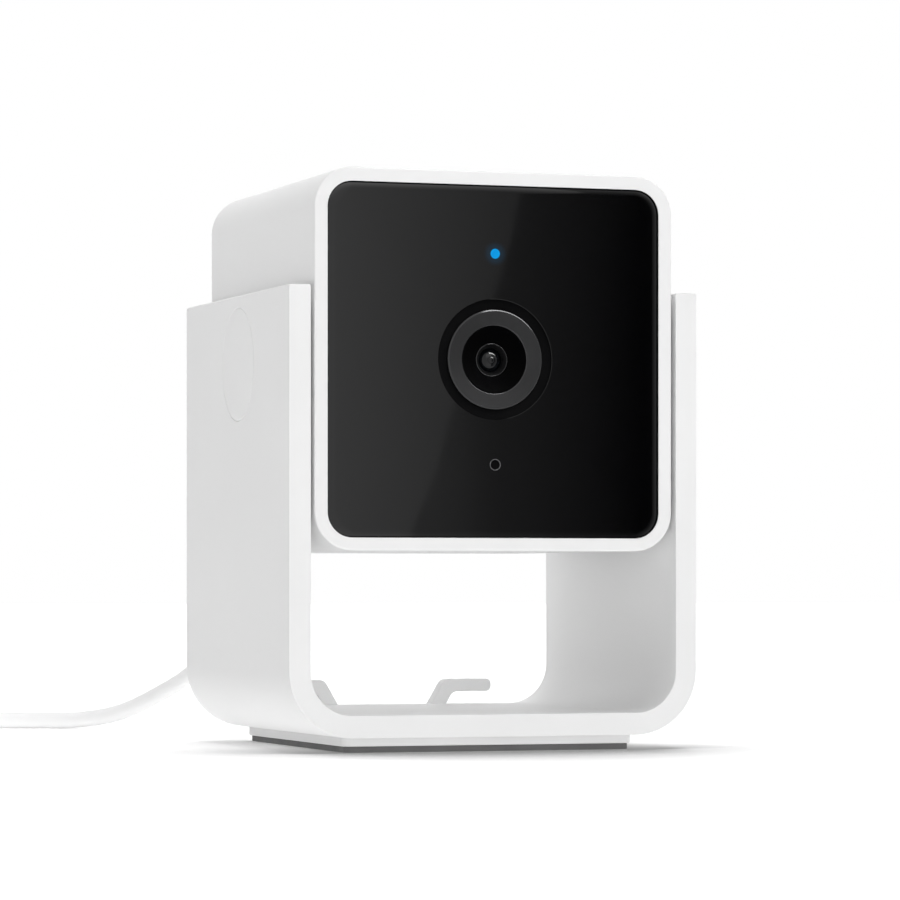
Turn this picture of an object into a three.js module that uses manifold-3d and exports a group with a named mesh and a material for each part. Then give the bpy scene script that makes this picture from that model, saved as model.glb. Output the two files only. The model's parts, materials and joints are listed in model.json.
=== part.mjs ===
// A small indoor pet camera: a cube on a friction hinge between the arms of a U-shaped stand,
// with a micro USB lead behind it. Millimetres, +Z up, +X right and -Y towards the viewer.
// The origin is the middle of the stand's footprint, on the surface that it stands on.
import * as THREE from 'three';
import { mergeVertices } from 'three/addons/utils/BufferGeometryUtils.js';
import Module from 'manifold-3d';

const wasm = await Module();
wasm.setup();

// Stand: a U of one wall, moulded with two cable hooks on its floor
const standWidth = 60.5;
const standDepth = 53.5;
const armThickness = 3.2;
const floorThickness = 3.15;
const standInnerRadius = 6.0;
const standEdge = 0.2;
const armTipRadius = 0.3;
const armAbovePivot = 9.9;
const hookBaseInner = 7.35;
const hookBaseOuter = 9.85;
const hookReach = 17.05;
const hookTop = 3.8;
const hookArm = 1.9;
const hookDepth = 2.5;
const hookBackInset = 0.6;
const hookLean = THREE.MathUtils.degToRad(60);
const hookEndRadius = 0.8;

// Base: a metal weight plate under the floor and the rubber pad that it stands on
const basePlateThickness = 1.25;
const basePlateSideInset = 8.6;
const basePlateEndInset = 2.65;
const basePlateRadius = 1.6;
const basePlateChamfer = 0.3;
const footPadThickness = 0.85;
const footPadInset = 0.45;
const footPadEdge = 0.12;
const baseScrewSideInset = 5.0;
const baseScrewEndInset = 6.0;
const baseScrewHeadRadius = 2.0;
const baseScrewHeadDepth = 0.8;
const baseScrewRadius = 0.95;
const baseScrewBite = 2.2;

// Camera cube
const sideGap = 0.55;
const windowHeight = 22.85;
const cameraHeight = 53.15;
const cameraFrontInset = 0.25;
const cameraBackInset = 0;
const cameraCornerRadius = 5.5;
const cameraFrontEdge = 0.3;
const cameraBackRound = 0.8;
const rimWidth = 2.0;
const rimInnerChamfer = 0.12;
const panelLedge = 0.7;
const backWall = 2.2;
const lensRise = 0.25;

// Hinge, the same on both sides
const pivotSetForward = 1.2;
const hingeCapRadius = 8.0;
const hingeCapThickness = 1.0;
const hingeCapEdge = 0.15;
const hingePocketRadius = 5.0;
const hingeWeb = 1.05;
const hingeBoreRadius = 3.1;
const bushFlangeRadius = 5.6;
const bushBodyRadius = 3.6;
const bossRadius = 5.8;
const bossDepth = 2.4;
const hingeScrewRadius = 1.5;
const hingeScrewHeadRadius = 3.2;
const hingeScrewTip = 1.0;
const washerRadius = 4.4;
const washerThickness = 0.35;

// Front: dark panel, the tray behind it and the lens in the middle
const panelSink = 0.1;
const panelThickness = 1.3;
const panelEdge = 0.3;
const chassisThickness = 2.0;
const lensWindowRadius = 8.45;
const surroundSink = 0.35;
const surroundFlange = 0.85;
const surroundSeatDepth = 1.2;
const trimRingOuter = 7.0;
const trimRingInner = 4.8;
const trimRingDepth = 0.55;
const trimRingProud = 0.05;
const trimRingChamfer = 0.28;
const trimRingInnerChamfer = 0.1;
const baffleRadius = 5.1;
const baffleRim = 0.35;
const baffleThroat = 2.4;
const barrelNoseRadius = 2.3;
const barrelNoseDepth = 1.55;
const barrelNoseLength = 0.8;
const barrelTaper = 0.7;
const barrelBodyRadius = 3.8;
const barrelLength = 8.0;
const barrelBoreRadius = 1.2;
const glassRadius = 1.72;
const glassSink = 0.5;
const glassThickness = 0.9;
const glassDome = 0.42;
const holderTubeRadius = 5.2;
const holderWidth = 13.0;
const holderBase = 3.0;
const holderTubeLength = 4.5;
const holderCavity = 8.4;
const holderCavityDepth = 2.1;
const filterWidth = 7.2;
const filterThickness = 0.4;
const sensorWidth = 6.4;
const sensorHeight = 5.4;
const sensorThickness = 1.0;

// Status light, microphone and infrared lights
const lightRise = 14.8;
const lightPipeRadius = 0.74;
const lightPipeFlangeRadius = 1.4;
const lightPipeFlange = 0.6;
const statusLedWidth = 1.6;
const statusLedHeight = 0.8;
const statusLedThickness = 0.5;
const micDrop = 14.75;
const micHoleRadius = 0.55;
const micBootRadius = 1.5;
const micBootBore = 0.5;
const micWidth = 3.0;
const micHeight = 2.2;
const micThickness = 0.5;
const irLightOffset = 13.2;
const irLightRadius = 1.6;
const irLightHeight = 1.1;
const irDomeShare = 0.5;
const irTipShare = 0.125;
const irHoleRadius = 2.0;

// Boards
const ledBoardInset = 3.0;
const ledBoardThickness = 0.8;
const ledBoardHoleRadius = 6.0;
const mainBoardThickness = 1.2;
const mainBoardSideGap = 1.3;
const mainBoardEndGap = 1.375;
const boardCorner = 2.0;
const postInset = 4.3;
const postRadius = 1.9;
const postFootRadius = 2.8;
const postFoot = 0.6;
const postLength = 8.9;
const boardScrewRadius = 0.7;
const boardScrewHeadRadius = 1.5;
const boardScrewHead = 0.9;
const boardScrewBite = 3.6;
const canWidth = 16.0;
const canHeight = 14.0;
const canDepth = 2.2;
const canWall = 0.3;
const canInset = 14.5;
const canUp = 6.0;
const radioWidth = 10.0;
const radioHeight = 12.0;
const radioDepth = 1.6;
const radioInset = 10.5;
const radioUp = 9.0;
const antennaWidth = 24.0;
const antennaDepth = 8.0;
const antennaThickness = 0.3;
const antennaBack = 6.0;
const ribbonWidth = 8.0;
const ribbonThickness = 0.3;
const ribbonSideways = -4.0;
const ribbonLap = 3.0;

// Speaker and its grille on the back
const speakerUp = 4.0;
const grilleRadius = 10.6;
const grilleThickness = 1.0;
const grilleShelf = 1.3;
const grilleHoleRadius = 0.65;
const grillePitch = 2.45;
const grilleRings = 3;
const speakerRadius = 13.4;
const speakerDepth = 4.6;
const speakerWall = 0.8;
const speakerLip = 1.5;
const speakerRingWall = 1.0;
const speakerRingDepth = 3.0;
const coneThickness = 0.4;
const coneRoll = 2.0;
const coneDrop = 1.4;
const coneDomeRadius = 3.6;
const magnetRadius = 7.2;
const magnetDepth = 4.0;

// Socket board, socket, switch and button at the foot of the back
const socketRise = 7.875;
const socketBoardWidth = 26.0;
const socketBoardDepth = 12.5;
const socketBoardThickness = 1.0;
const socketBoardBackGap = 1.4;
const ribInset = 2.5;
const ribWidth = 3.0;
const socketWidth = 7.6;
const socketHeight = 2.9;
const socketDepth = 5.6;
const socketWall = 0.35;
const socketCorner = 0.4;
const tongueWidth = 3.8;
const tongueThickness = 0.45;
const tongueLength = 3.4;
const portWidth = 9.0;
const portHeight = 4.4;
const portRadius = 1.6;
const buttonInset = 2.5;
const buttonRadius = 2.6;
const buttonFlangeRadius = 3.1;
const buttonFlange = 0.5;
const buttonDish = 0.25;
const buttonShoulderShare = 0.6;
const buttonTravel = 0.35;
const switchWidth = 4.6;
const switchHeight = 3.4;
const switchDepth = 3.2;
const switchStemRadius = 1.0;
const switchStem = 0.55;

// Lead: a thin round cord with a micro USB plug on the camera and a USB A plug on its far end
const cordDiameter = 2.6;
const plugWidth = 10.4;
const plugHeight = 7.2;
const plugLength = 16.0;
const plugRadius = 2.4;
const plugEdge = 0.9;
const plugShellWidth = 6.6;
const plugShellHeight = 1.75;
const plugShellLength = 6.0;
const shellWall = 0.3;
const plugShellRadius = 0.5;
const reliefLength = 10.0;
const reliefRootRadius = 2.9;
const reliefTipRadius = 1.75;
const reliefGroove = 0.35;
const reliefRings = 4;
const reliefRootShare = 0.2;
const reliefEndShare = 0.5;
const reliefGrooveShares = [0.35, 0.45, 0.85, 0.95];
const usbWidth = 15.8;
const usbHeight = 7.7;
const usbLength = 19.0;
const usbShellWidth = 12.0;
const usbShellHeight = 4.5;
const usbShellLength = 12.0;
const usbWindow = 2.2;
const usbWindowInset = 2.2;
const usbWindowBack = 5.4;
const usbX = -105.8;
const usbEntryY = 70.5;
const coilTurns = 17.08;
const coilLayers = 4;
const coilMiddleRadius = 15.15;
const coilPitch = 3.1;
const coilClimbTurns = 0.25;
const coilLift = 2.15;
const coilEntryX = -67.0;
const coilEntryY = 95.6;
const coilHeading = THREE.MathUtils.degToRad(161.53);
const tieWidth = 5.0;
const tieThickness = 0.6;
const tieSlack = 0.35;
const tieRadius = 2.4;

// Clearances, and the overrun of every cut
const fitGap = 0.1;
const looseGap = 0.15;
const faceGap = 0.06;
const buttGap = 0.3;
const overrun = 1.0;
const weld = 1e-4;

// Facets: counts of steps, not sizes
const cornerSteps = 5;
const lensSteps = 36;
const roundSteps = 24;
const hingeSteps = 24;
const smallSteps = 12;
const holeSteps = 6;
const domeSteps = 5;
const coilSteps = 20;
const coilSides = 6;
const cordSides = 8;
const leadSteps = 32;
const tailSteps = 16;
const blockCornerSteps = 2;

// Heights and planes worked out from the sizes above
const yokeBottom = footPadThickness + basePlateThickness;
const yokeFloor = yokeBottom + floorThickness;
const standOuterRadius = standInnerRadius + armThickness;
const armInner = standWidth / 2 - armThickness;
const cameraWidth = 2 * (armInner - sideGap);
const cameraFront = cameraFrontInset - standDepth / 2;
const cameraBack = standDepth / 2 - cameraBackInset;
const cameraBottom = yokeFloor + windowHeight;
const lensZ = cameraBottom + cameraHeight / 2 + lensRise;
const pivotZ = lensZ;
const pivotY = -pivotSetForward;
const armTop = pivotZ + armAbovePivot;
const cavityWidth = cameraWidth - 2 * rimWidth;
const cavityHeight = cameraHeight - 2 * rimWidth;
const cavityRadius = cameraCornerRadius - rimWidth;
const cavityBack = cameraBack - backWall;
const chamberWidth = cavityWidth - 2 * panelLedge;
const chamberHeight = cavityHeight - 2 * panelLedge;
const chamberRadius = cavityRadius - panelLedge;
const chamberFloor = -lensRise - chamberHeight / 2;
const panelFront = cameraFront + panelSink;
const panelBack = panelFront + panelThickness;
const chassisBack = panelBack + chassisThickness;
const surroundSeat = panelBack + surroundSeatDepth;
const ringFront = panelFront - trimRingProud;
const ringBack = ringFront + trimRingDepth;
const barrelFront = ringFront + barrelNoseDepth;
const barrelBack = barrelFront + barrelLength;
const glassBack = barrelFront + glassSink + glassThickness;
const ledBoardFront = chassisBack + postFoot;
const mainBoardFront = chassisBack + postLength;
const mainBoardBack = mainBoardFront + mainBoardThickness;
const postX = cavityWidth / 2 - postInset;
const postZ = cavityHeight / 2 - postInset;
const mainBoardWidth = chamberWidth - 2 * mainBoardSideGap;
const mainBoardHeight = chamberHeight - 2 * mainBoardEndGap;
const canSideways = canInset - mainBoardWidth / 2;
const radioSideways = mainBoardWidth / 2 - radioInset;
const socketDrop = cameraHeight / 2 + lensRise - socketRise;
const buttonSideways = socketBoardWidth / 2 - buttonInset;
const ribSpread = socketBoardWidth / 2 - ribInset;
const socketBoardTop = -socketDrop - socketHeight / 2;
const socketBoardFloor = socketBoardTop - socketBoardThickness;
const socketBoardBack = cavityBack - socketBoardBackGap;
const plugFace = cameraBack + buttGap;
const cordExit = plugFace + plugLength + reliefLength;
const cordRadius = cordDiameter / 2;

// Points of an arc in a flat outline
function arc(x, y, radius, from, to, steps) {
  return Array.from({ length: steps + 1 }, (_, i) => {
    const a = from + ((to - from) * i) / steps;
    return new THREE.Vector2(x + radius * Math.cos(a), y + radius * Math.sin(a));
  });
}

// A rectangle with round corners, anticlockwise
function roundedRect(width, height, radius, x = 0, y = 0, steps = cornerSteps) {
  const dx = width / 2 - radius;
  const dy = height / 2 - radius;
  const quarter = Math.PI / 2;
  return [[1, 1], [-1, 1], [-1, -1], [1, -1]].flatMap(([sx, sy], i) =>
    arc(x + sx * dx, y + sy * dy, radius, i * quarter, (i + 1) * quarter, steps));
}

// A whole circle as an outline
function circle(radius, x = 0, y = 0, steps = roundSteps) {
  return arc(x, y, radius, 0, 2 * Math.PI, steps).slice(0, -1);
}

// Turns closed triangles into a solid that can be cut and joined
function toSolid(geometry) {
  const bare = geometry.clone();
  bare.deleteAttribute('normal');
  bare.deleteAttribute('uv');
  const merged = mergeVertices(bare, weld);
  const index = merged.index.array;
  const triVerts = [];
  for (let i = 0; i < index.length; i += 3) {
    const [a, b, c] = [index[i], index[i + 1], index[i + 2]];
    if (a !== b && b !== c && c !== a) triVerts.push(a, b, c);
  }
  return new wasm.Manifold(new wasm.Mesh({
    numProp: 3,
    vertProperties: new Float32Array(merged.attributes.position.array),
    triVerts: new Uint32Array(triVerts),
  }));
}

// Gives a finished solid back as a three.js geometry
function toGeometry(solid) {
  const mesh = solid.getMesh();
  const geometry = new THREE.BufferGeometry();
  geometry.setAttribute('position', new THREE.BufferAttribute(mesh.vertProperties, 3));
  geometry.setIndex(new THREE.BufferAttribute(mesh.triVerts, 1));
  geometry.computeVertexNormals();
  return geometry;
}

// An outline in local X and Y, extruded along +Z, its two ends rounded by edge
function extrude(outline, depth, edge, edgeSteps, holes) {
  const shape = new THREE.Shape(outline);
  shape.holes = holes.map((h) => new THREE.Path(h));
  return new THREE.ExtrudeGeometry(shape, {
    depth: depth - 2 * edge,
    bevelEnabled: edge > 0,
    bevelThickness: edge,
    bevelSize: edge,
    bevelOffset: -edge,
    bevelSegments: edgeSteps,
    steps: 1,
  }).translate(0, 0, edge);
}

// An outline in X and Z, carried from the depth front to the depth back
function prismY(outline, front, back, edge = 0, edgeSteps = 1, holes = []) {
  const geometry = extrude(outline, back - front, edge, edgeSteps, holes);
  return toSolid(geometry.rotateX(Math.PI / 2).translate(0, back, 0));
}

// An outline in X and Y, carried from the height low to the height high
function prismZ(outline, low, high, edge = 0, edgeSteps = 1, holes = []) {
  return toSolid(extrude(outline, high - low, edge, edgeSteps, holes).translate(0, 0, low));
}

// An outline in Y and Z, carried from one X to another
function prismX(outline, left, right, edge = 0, edgeSteps = 1, holes = []) {
  const geometry = extrude(outline, right - left, edge, edgeSteps, holes);
  const turned = new THREE.Matrix4().makeBasis(
    new THREE.Vector3(0, 1, 0), new THREE.Vector3(0, 0, 1), new THREE.Vector3(1, 0, 0));
  return toSolid(geometry.applyMatrix4(turned).translate(left, 0, 0));
}

// A profile of radius and station, turned about local Y; it starts and ends on the axis or closes
function lathe(profile, steps) {
  const points = profile.map(([r, y]) => new THREE.Vector2(r, y));
  const turn = THREE.ShapeUtils.area(points) < 0 ? points.reverse() : points;
  const onAxis = turn[0].x === 0 && turn[turn.length - 1].x === 0;
  return new THREE.LatheGeometry(onAxis ? turn : [...turn, turn[0]], steps);
}

// A turned solid whose axis lies along Y, X or Z
function turnedY(profile, steps = roundSteps, x = 0, z = 0) {
  return toSolid(lathe(profile, steps).translate(x, 0, z));
}
function turnedX(profile, steps = hingeSteps) {
  return toSolid(lathe(profile, steps).rotateZ(-Math.PI / 2));
}
function turnedZ(profile, steps = smallSteps, x = 0, y = 0) {
  return toSolid(lathe(profile, steps).rotateX(Math.PI / 2).translate(x, y, 0));
}

// Plain profiles: a cylinder and a tube between two stations
const rod = (radius, from, to) => [[0, from], [radius, from], [radius, to], [0, to]];
const tube = (inner, outer, from, to) =>
  [[inner, from], [outer, from], [outer, to], [inner, to]];

const leastCornerShare = 0.04;

// A plain block from its centre and its size across X and Z, and between two depths
function blockY(width, height, front, back, x = 0, z = 0, radius = 0) {
  const corner = Math.max(radius, Math.min(width, height) * leastCornerShare);
  return prismY(roundedRect(width, height, corner, x, z, blockCornerSteps), front, back);
}

const cutAll = (solid, cuts) => cuts.reduce((s, c) => s.subtract(c), solid);
const joinAll = (solids) => solids.reduce((a, b) => a.add(b));

// Materials: colour, roughness and metalness
const finish = (color, roughness, metalness = 0) =>
  () => new THREE.MeshStandardMaterial({ color, roughness, metalness });
const whitePlastic = finish(0xf4f4f4, 0.45);
const blackGloss = finish(0x0b0b0c, 0.08);
const blackPlastic = finish(0x111112, 0.6);
const greyMetal = finish(0x3c3c3e, 0.35, 0.8);
const silverMetal = finish(0xc9cbcc, 0.35, 0.9);
const steel = finish(0xb4b6b8, 0.3, 1);
const brass = finish(0xb58a4a, 0.35, 1);
const darkRubber = finish(0x4a4a4b, 0.85);
const boardGreen = finish(0x1d5a3a, 0.5);
const clearPlastic = finish(0xbfe6ff, 0.1);
const lensGlass = finish(0x14202c, 0.05);
const chipBlack = finish(0x1a1a1c, 0.5);
const conePaper = finish(0x2b2b2d, 0.8);
const ribbonWhite = finish(0xe8e6df, 0.5);
const cordWhite = finish(0xf2f2f2, 0.5);

// The U of the stand with round corners and softened arm tips
function yokeOutline() {
  const half = standWidth / 2;
  const quarter = Math.PI / 2;
  const outer = half - standOuterRadius;
  const inner = armInner - standInnerRadius;
  const tipSteps = 2;
  const right = [
    ...arc(outer, yokeBottom + standOuterRadius, standOuterRadius, -quarter, 0, cornerSteps + 2),
    ...arc(half - armTipRadius, armTop - armTipRadius, armTipRadius, 0, quarter, tipSteps),
    ...arc(armInner + armTipRadius, armTop - armTipRadius, armTipRadius, quarter, Math.PI, tipSteps),
    ...arc(inner, yokeFloor + standInnerRadius, standInnerRadius, 0, -quarter, cornerSteps + 1),
  ];
  const left = right.map((p) => new THREE.Vector2(-p.x, p.y)).reverse();
  return [...right, ...left];
}

// One L-shaped finger that the slack cord is wound on; side is 1 or -1
function hookOutline(side) {
  const top = yokeFloor + hookTop;
  const under = top - hookArm;
  const foot = yokeFloor - floorThickness / 2;
  const along = (z) => (z - yokeFloor) / Math.tan(hookLean);
  const quarter = Math.PI / 2;
  const points = [
    new THREE.Vector2(hookBaseInner + along(foot), foot),
    new THREE.Vector2(hookBaseOuter + along(foot), foot),
    new THREE.Vector2(hookBaseOuter + along(under), under),
    ...arc(hookReach - hookEndRadius, under + hookEndRadius, hookEndRadius, -quarter, 0, 3),
    ...arc(hookReach - hookEndRadius, top - hookEndRadius, hookEndRadius, 0, quarter, 3),
    ...arc(hookBaseInner + along(top) + hookEndRadius, top - hookEndRadius, hookEndRadius,
      quarter, quarter + hookLean, 3),
  ];
  return side > 0 ? points : points.map((p) => new THREE.Vector2(-p.x, p.y)).reverse();
}

function standYoke() {
  const front = -standDepth / 2;
  const back = standDepth / 2;
  const wall = prismY(yokeOutline(), front, back, standEdge, 1);
  const hookBack = back - hookBackInset;
  const hooks = [1, -1].map((side) => prismY(hookOutline(side), hookBack - hookDepth, hookBack));
  const body = joinAll([wall, ...hooks]);
  const seat = standWidth / 2 - hingeCapThickness;
  const pocket = armInner + hingeWeb;
  const hingeCuts = [1, -1].flatMap((side) => [
    tube(0, hingeCapRadius + fitGap, seat, standWidth / 2 + overrun),
    tube(0, hingePocketRadius, pocket, seat + overrun / 2),
    tube(0, hingeBoreRadius, armInner - overrun, pocket + overrun / 2),
  ].map((p) => toSolid(lathe(p.map(([r, x]) => [r, side * x]), hingeSteps)
    .rotateZ(-Math.PI / 2).translate(0, pivotY, pivotZ))));
  const screwCuts = baseScrewPlaces().map(([x, y]) =>
    turnedZ(tube(0, baseScrewRadius + faceGap, yokeBottom - overrun,
      yokeBottom + baseScrewBite + faceGap), smallSteps, x, y));
  return cutAll(body, [...hingeCuts, ...screwCuts]);
}

function baseScrewPlaces() {
  const x = standWidth / 2 - basePlateSideInset - baseScrewSideInset;
  const y = standDepth / 2 - basePlateEndInset - baseScrewEndInset;
  return [[x, y], [-x, y], [-x, -y], [x, -y]];
}

const plateWidth = standWidth - 2 * basePlateSideInset;
const plateDepth = standDepth - 2 * basePlateEndInset;

// The weight plate: its lower edge is chamfered, its upper face lies on the stand
function basePlate() {
  const outline = roundedRect(plateWidth, plateDepth, basePlateRadius, 0, 0, 3);
  const chamfered = prismZ(outline, footPadThickness, yokeBottom + 2 * basePlateChamfer,
    basePlateChamfer);
  const keep = prismZ(roundedRect(plateWidth + overrun, plateDepth + overrun, basePlateRadius),
    footPadThickness - overrun, yokeBottom);
  const headTop = footPadThickness + baseScrewHeadDepth;
  const sinks = baseScrewPlaces().map(([x, y]) => turnedZ([
    [0, footPadThickness - overrun],
    [baseScrewHeadRadius + fitGap, footPadThickness - overrun],
    [baseScrewHeadRadius + fitGap, footPadThickness],
    [baseScrewRadius + fitGap, headTop + faceGap],
    [baseScrewRadius + fitGap, yokeBottom + overrun],
    [0, yokeBottom + overrun],
  ], smallSteps, x, y));
  return cutAll(chamfered.intersect(keep), sinks);
}

// One countersunk screw that holds the plate, in its own place
function baseScrew() {
  return turnedZ([
    [0, footPadThickness + faceGap],
    [baseScrewHeadRadius - faceGap, footPadThickness + faceGap],
    [baseScrewRadius, footPadThickness + baseScrewHeadDepth],
    [baseScrewRadius, yokeBottom + baseScrewBite],
    [0, yokeBottom + baseScrewBite],
  ]);
}

function footPad() {
  const outline = roundedRect(plateWidth - 2 * footPadInset, plateDepth - 2 * footPadInset,
    basePlateRadius - footPadInset, 0, 0, 3);
  return prismZ(outline, 0, footPadThickness, footPadEdge);
}

// The hinge pieces lie on local X, from the middle of the camera outwards
const headOuter = standWidth / 2 - hingeCapThickness - fitGap;
const sleeveEnd = armInner + hingeWeb + faceGap;
const washerOuter = sleeveEnd + washerThickness;

function pivotCap() {
  const face = standWidth / 2;
  const seat = face - hingeCapThickness;
  return turnedX([[0, seat], [hingeCapRadius, seat], [hingeCapRadius, face - hingeCapEdge],
    [hingeCapRadius - hingeCapEdge, face], [0, face]]);
}

function pivotBush() {
  const wall = cameraWidth / 2;
  const inner = chamberWidth / 2 - bossDepth;
  const bore = hingeScrewRadius + faceGap;
  const sleeve = hingeBoreRadius - looseGap;
  const flange = armInner - fitGap;
  return turnedX([[bore, inner], [bushBodyRadius, inner], [bushBodyRadius, wall],
    [bushFlangeRadius, wall], [bushFlangeRadius, flange], [sleeve, flange],
    [sleeve, sleeveEnd], [bore, sleeveEnd]]);
}

function frictionWasher() {
  return turnedX(tube(hingeScrewRadius + fitGap, washerRadius, sleeveEnd, washerOuter));
}

function hingeScrew() {
  const tip = chamberWidth / 2 - bossDepth - hingeScrewTip;
  return turnedX([[0, tip], [hingeScrewRadius, tip], [hingeScrewRadius, washerOuter],
    [hingeScrewHeadRadius, washerOuter], [hingeScrewHeadRadius, headOuter], [0, headOuter]]);
}

// Camera pieces are placed from the lens axis: local Z is zero there
function housing() {
  const outline = roundedRect(cameraWidth, cameraHeight, cameraCornerRadius, 0, -lensRise);
  const crisp = prismY(outline, cameraFront, cameraBack, cameraFrontEdge, 2);
  const soft = prismY(outline, cameraFront - 2 * cameraBackRound, cameraBack, cameraBackRound, 3);
  const seat = prismY(roundedRect(cavityWidth, cavityHeight, cavityRadius, 0, -lensRise),
    cameraFront - overrun, chassisBack);
  const chamber = prismY(roundedRect(chamberWidth, chamberHeight, chamberRadius, 0, -lensRise),
    cameraFront - overrun, cavityBack);
  const mouth = prismY(
    roundedRect(cavityWidth + 2 * rimInnerChamfer, cavityHeight + 2 * rimInnerChamfer,
      cavityRadius + rimInnerChamfer, 0, -lensRise),
    cameraFront - 2 * rimInnerChamfer, cameraFront + rimInnerChamfer, rimInnerChamfer);
  const boss = tube(0, bossRadius, chamberWidth / 2 - bossDepth, cavityWidth / 2);
  const hole = tube(0, bushBodyRadius + faceGap, chamberWidth / 2 - bossDepth - overrun,
    cameraWidth / 2 + overrun);
  const onHinge = (profile) => [1, -1].map((side) => toSolid(
    lathe(profile.map(([r, x]) => [r, side * x]), hingeSteps)
      .rotateZ(-Math.PI / 2).translate(0, pivotY, 0)));
  const ribHeight = socketBoardFloor - chamberFloor + rimWidth / 2;
  const ribs = [1, -1].map((side) => blockY(ribWidth, ribHeight,
    socketBoardBack - socketBoardDepth, socketBoardBack, side * ribSpread,
    socketBoardFloor - ribHeight / 2));
  const speakerRing = turnedY(tube(speakerRadius + fitGap, speakerRadius + fitGap + speakerRingWall,
    cavityBack - speakerRingDepth, cavityBack + backWall / 2), hingeSteps, 0, speakerUp);
  const grilleSeat = turnedY(rod(grilleRadius + fitGap, cameraBack - grilleThickness,
    cameraBack + overrun), hingeSteps, 0, speakerUp);
  const soundHole = turnedY(rod(grilleRadius - grilleShelf, cavityBack - overrun,
    cameraBack + overrun), hingeSteps, 0, speakerUp);
  const port = prismY(roundedRect(portWidth, portHeight, portRadius, 0, -socketDrop, 3),
    cavityBack - overrun, cameraBack + overrun);
  const buttonHole = turnedY(rod(buttonRadius + looseGap, cavityBack - overrun,
    cameraBack + overrun), roundSteps, buttonSideways, -socketDrop);
  const shell = cutAll(crisp.intersect(soft), [seat, chamber]);
  const body = joinAll([shell, ...onHinge(boss), ...ribs, speakerRing]);
  return cutAll(body, [mouth, ...onHinge(hole), grilleSeat, soundHole, port, buttonHole]);
}

// The dark front panel, with holes for the lens, the status light and the microphone
function frontPanel() {
  const gap = 2 * fitGap;
  const outline = roundedRect(cavityWidth - gap, cavityHeight - gap, cavityRadius - fitGap,
    0, -lensRise);
  const plate = prismY(outline, panelFront, panelBack + 2 * panelEdge, panelEdge, 2);
  const keep = prismY(roundedRect(cameraWidth, cameraHeight, cameraCornerRadius),
    panelFront - overrun, panelBack);
  return cutAll(plate.intersect(keep), [
    turnedY(rod(lensWindowRadius, panelFront - overrun, panelBack + overrun), lensSteps),
    turnedY(rod(lightPipeRadius + fitGap, panelFront - overrun, panelBack + overrun),
      smallSteps, 0, lightRise),
    turnedY(rod(micHoleRadius, panelFront - overrun, panelBack + overrun),
      smallSteps, 0, -micDrop),
  ]);
}

const postPlaces = [[1, 1], [-1, 1], [-1, -1], [1, -1]]
  .map(([sx, sz]) => [sx * postX, sz * postZ - lensRise]);

// The tray behind the panel, with four stepped posts that carry both boards
function chassis() {
  const gap = 2 * looseGap;
  const plate = prismY(roundedRect(cavityWidth - gap, cavityHeight - gap,
    cavityRadius - looseGap, 0, -lensRise), panelBack, chassisBack);
  const posts = postPlaces.map(([x, z]) => turnedY([
    [0, chassisBack - overrun], [postFootRadius, chassisBack - overrun],
    [postFootRadius, ledBoardFront], [postRadius, ledBoardFront],
    [postRadius, mainBoardFront], [0, mainBoardFront]], smallSteps, x, z));
  const through = (radius, x, z, from = panelBack - overrun) =>
    turnedY(rod(radius, from, chassisBack + overrun), smallSteps, x, z);
  const threads = postPlaces.map(([x, z]) => turnedY(
    rod(boardScrewRadius + faceGap, mainBoardFront - boardScrewBite - faceGap,
      mainBoardFront + overrun), smallSteps, x, z));
  return cutAll(joinAll([plate, ...posts]), [
    turnedY(rod(lensWindowRadius + surroundFlange + fitGap, panelBack - overrun, surroundSeat),
      lensSteps),
    turnedY(rod(barrelBodyRadius + looseGap + fitGap, panelBack - overrun, chassisBack + overrun)),
    through(lightPipeRadius + fitGap, 0, lightRise),
    turnedY(rod(lightPipeFlangeRadius + fitGap, panelBack - overrun,
      panelBack + lightPipeFlange + faceGap), smallSteps, 0, lightRise),
    through(micBootRadius + faceGap, 0, -micDrop),
    through(irHoleRadius, irLightOffset, 0),
    through(irHoleRadius, -irLightOffset, 0),
    ...threads,
  ]);
}

// The sunk black collar that the trim ring sits in
function lensSurround() {
  const front = panelFront + surroundSink;
  const body = lensWindowRadius - fitGap;
  const flange = lensWindowRadius + surroundFlange;
  const groove = trimRingOuter + faceGap;
  const bore = baffleRadius + fitGap;
  return turnedY([[groove, front], [body, front], [body, panelBack], [flange, panelBack],
    [flange, surroundSeat], [bore, surroundSeat], [bore, ringBack], [groove, ringBack]],
  lensSteps);
}

function lensTrimRing() {
  const c = trimRingChamfer;
  const d = trimRingInnerChamfer;
  return turnedY([[trimRingInner + d, ringFront], [trimRingOuter - c, ringFront],
    [trimRingOuter, ringFront + c], [trimRingOuter, ringBack], [trimRingInner, ringBack],
    [trimRingInner, ringFront + d]], lensSteps);
}

// The black funnel between the ring and the nose of the lens
function lensBaffle() {
  const noseClear = barrelNoseRadius + looseGap;
  return turnedY([[baffleRadius, ringBack], [baffleRadius, surroundSeat],
    [barrelBodyRadius + looseGap, surroundSeat], [noseClear, barrelFront + barrelNoseLength / 2],
    [noseClear, barrelFront + faceGap], [baffleThroat + fitGap, barrelFront],
    [baffleRadius - baffleRim, ringBack]], lensSteps);
}

function lensBarrel() {
  const shoulder = barrelFront + barrelNoseLength;
  const body = shoulder + barrelTaper;
  return turnedY([[glassRadius + looseGap, barrelFront], [barrelNoseRadius, barrelFront],
    [barrelNoseRadius, shoulder], [barrelBodyRadius, body], [barrelBodyRadius, barrelBack],
    [barrelBoreRadius, barrelBack], [barrelBoreRadius, glassBack],
    [glassRadius + faceGap, glassBack], [glassRadius + faceGap, barrelFront + glassSink]]);
}

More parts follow.
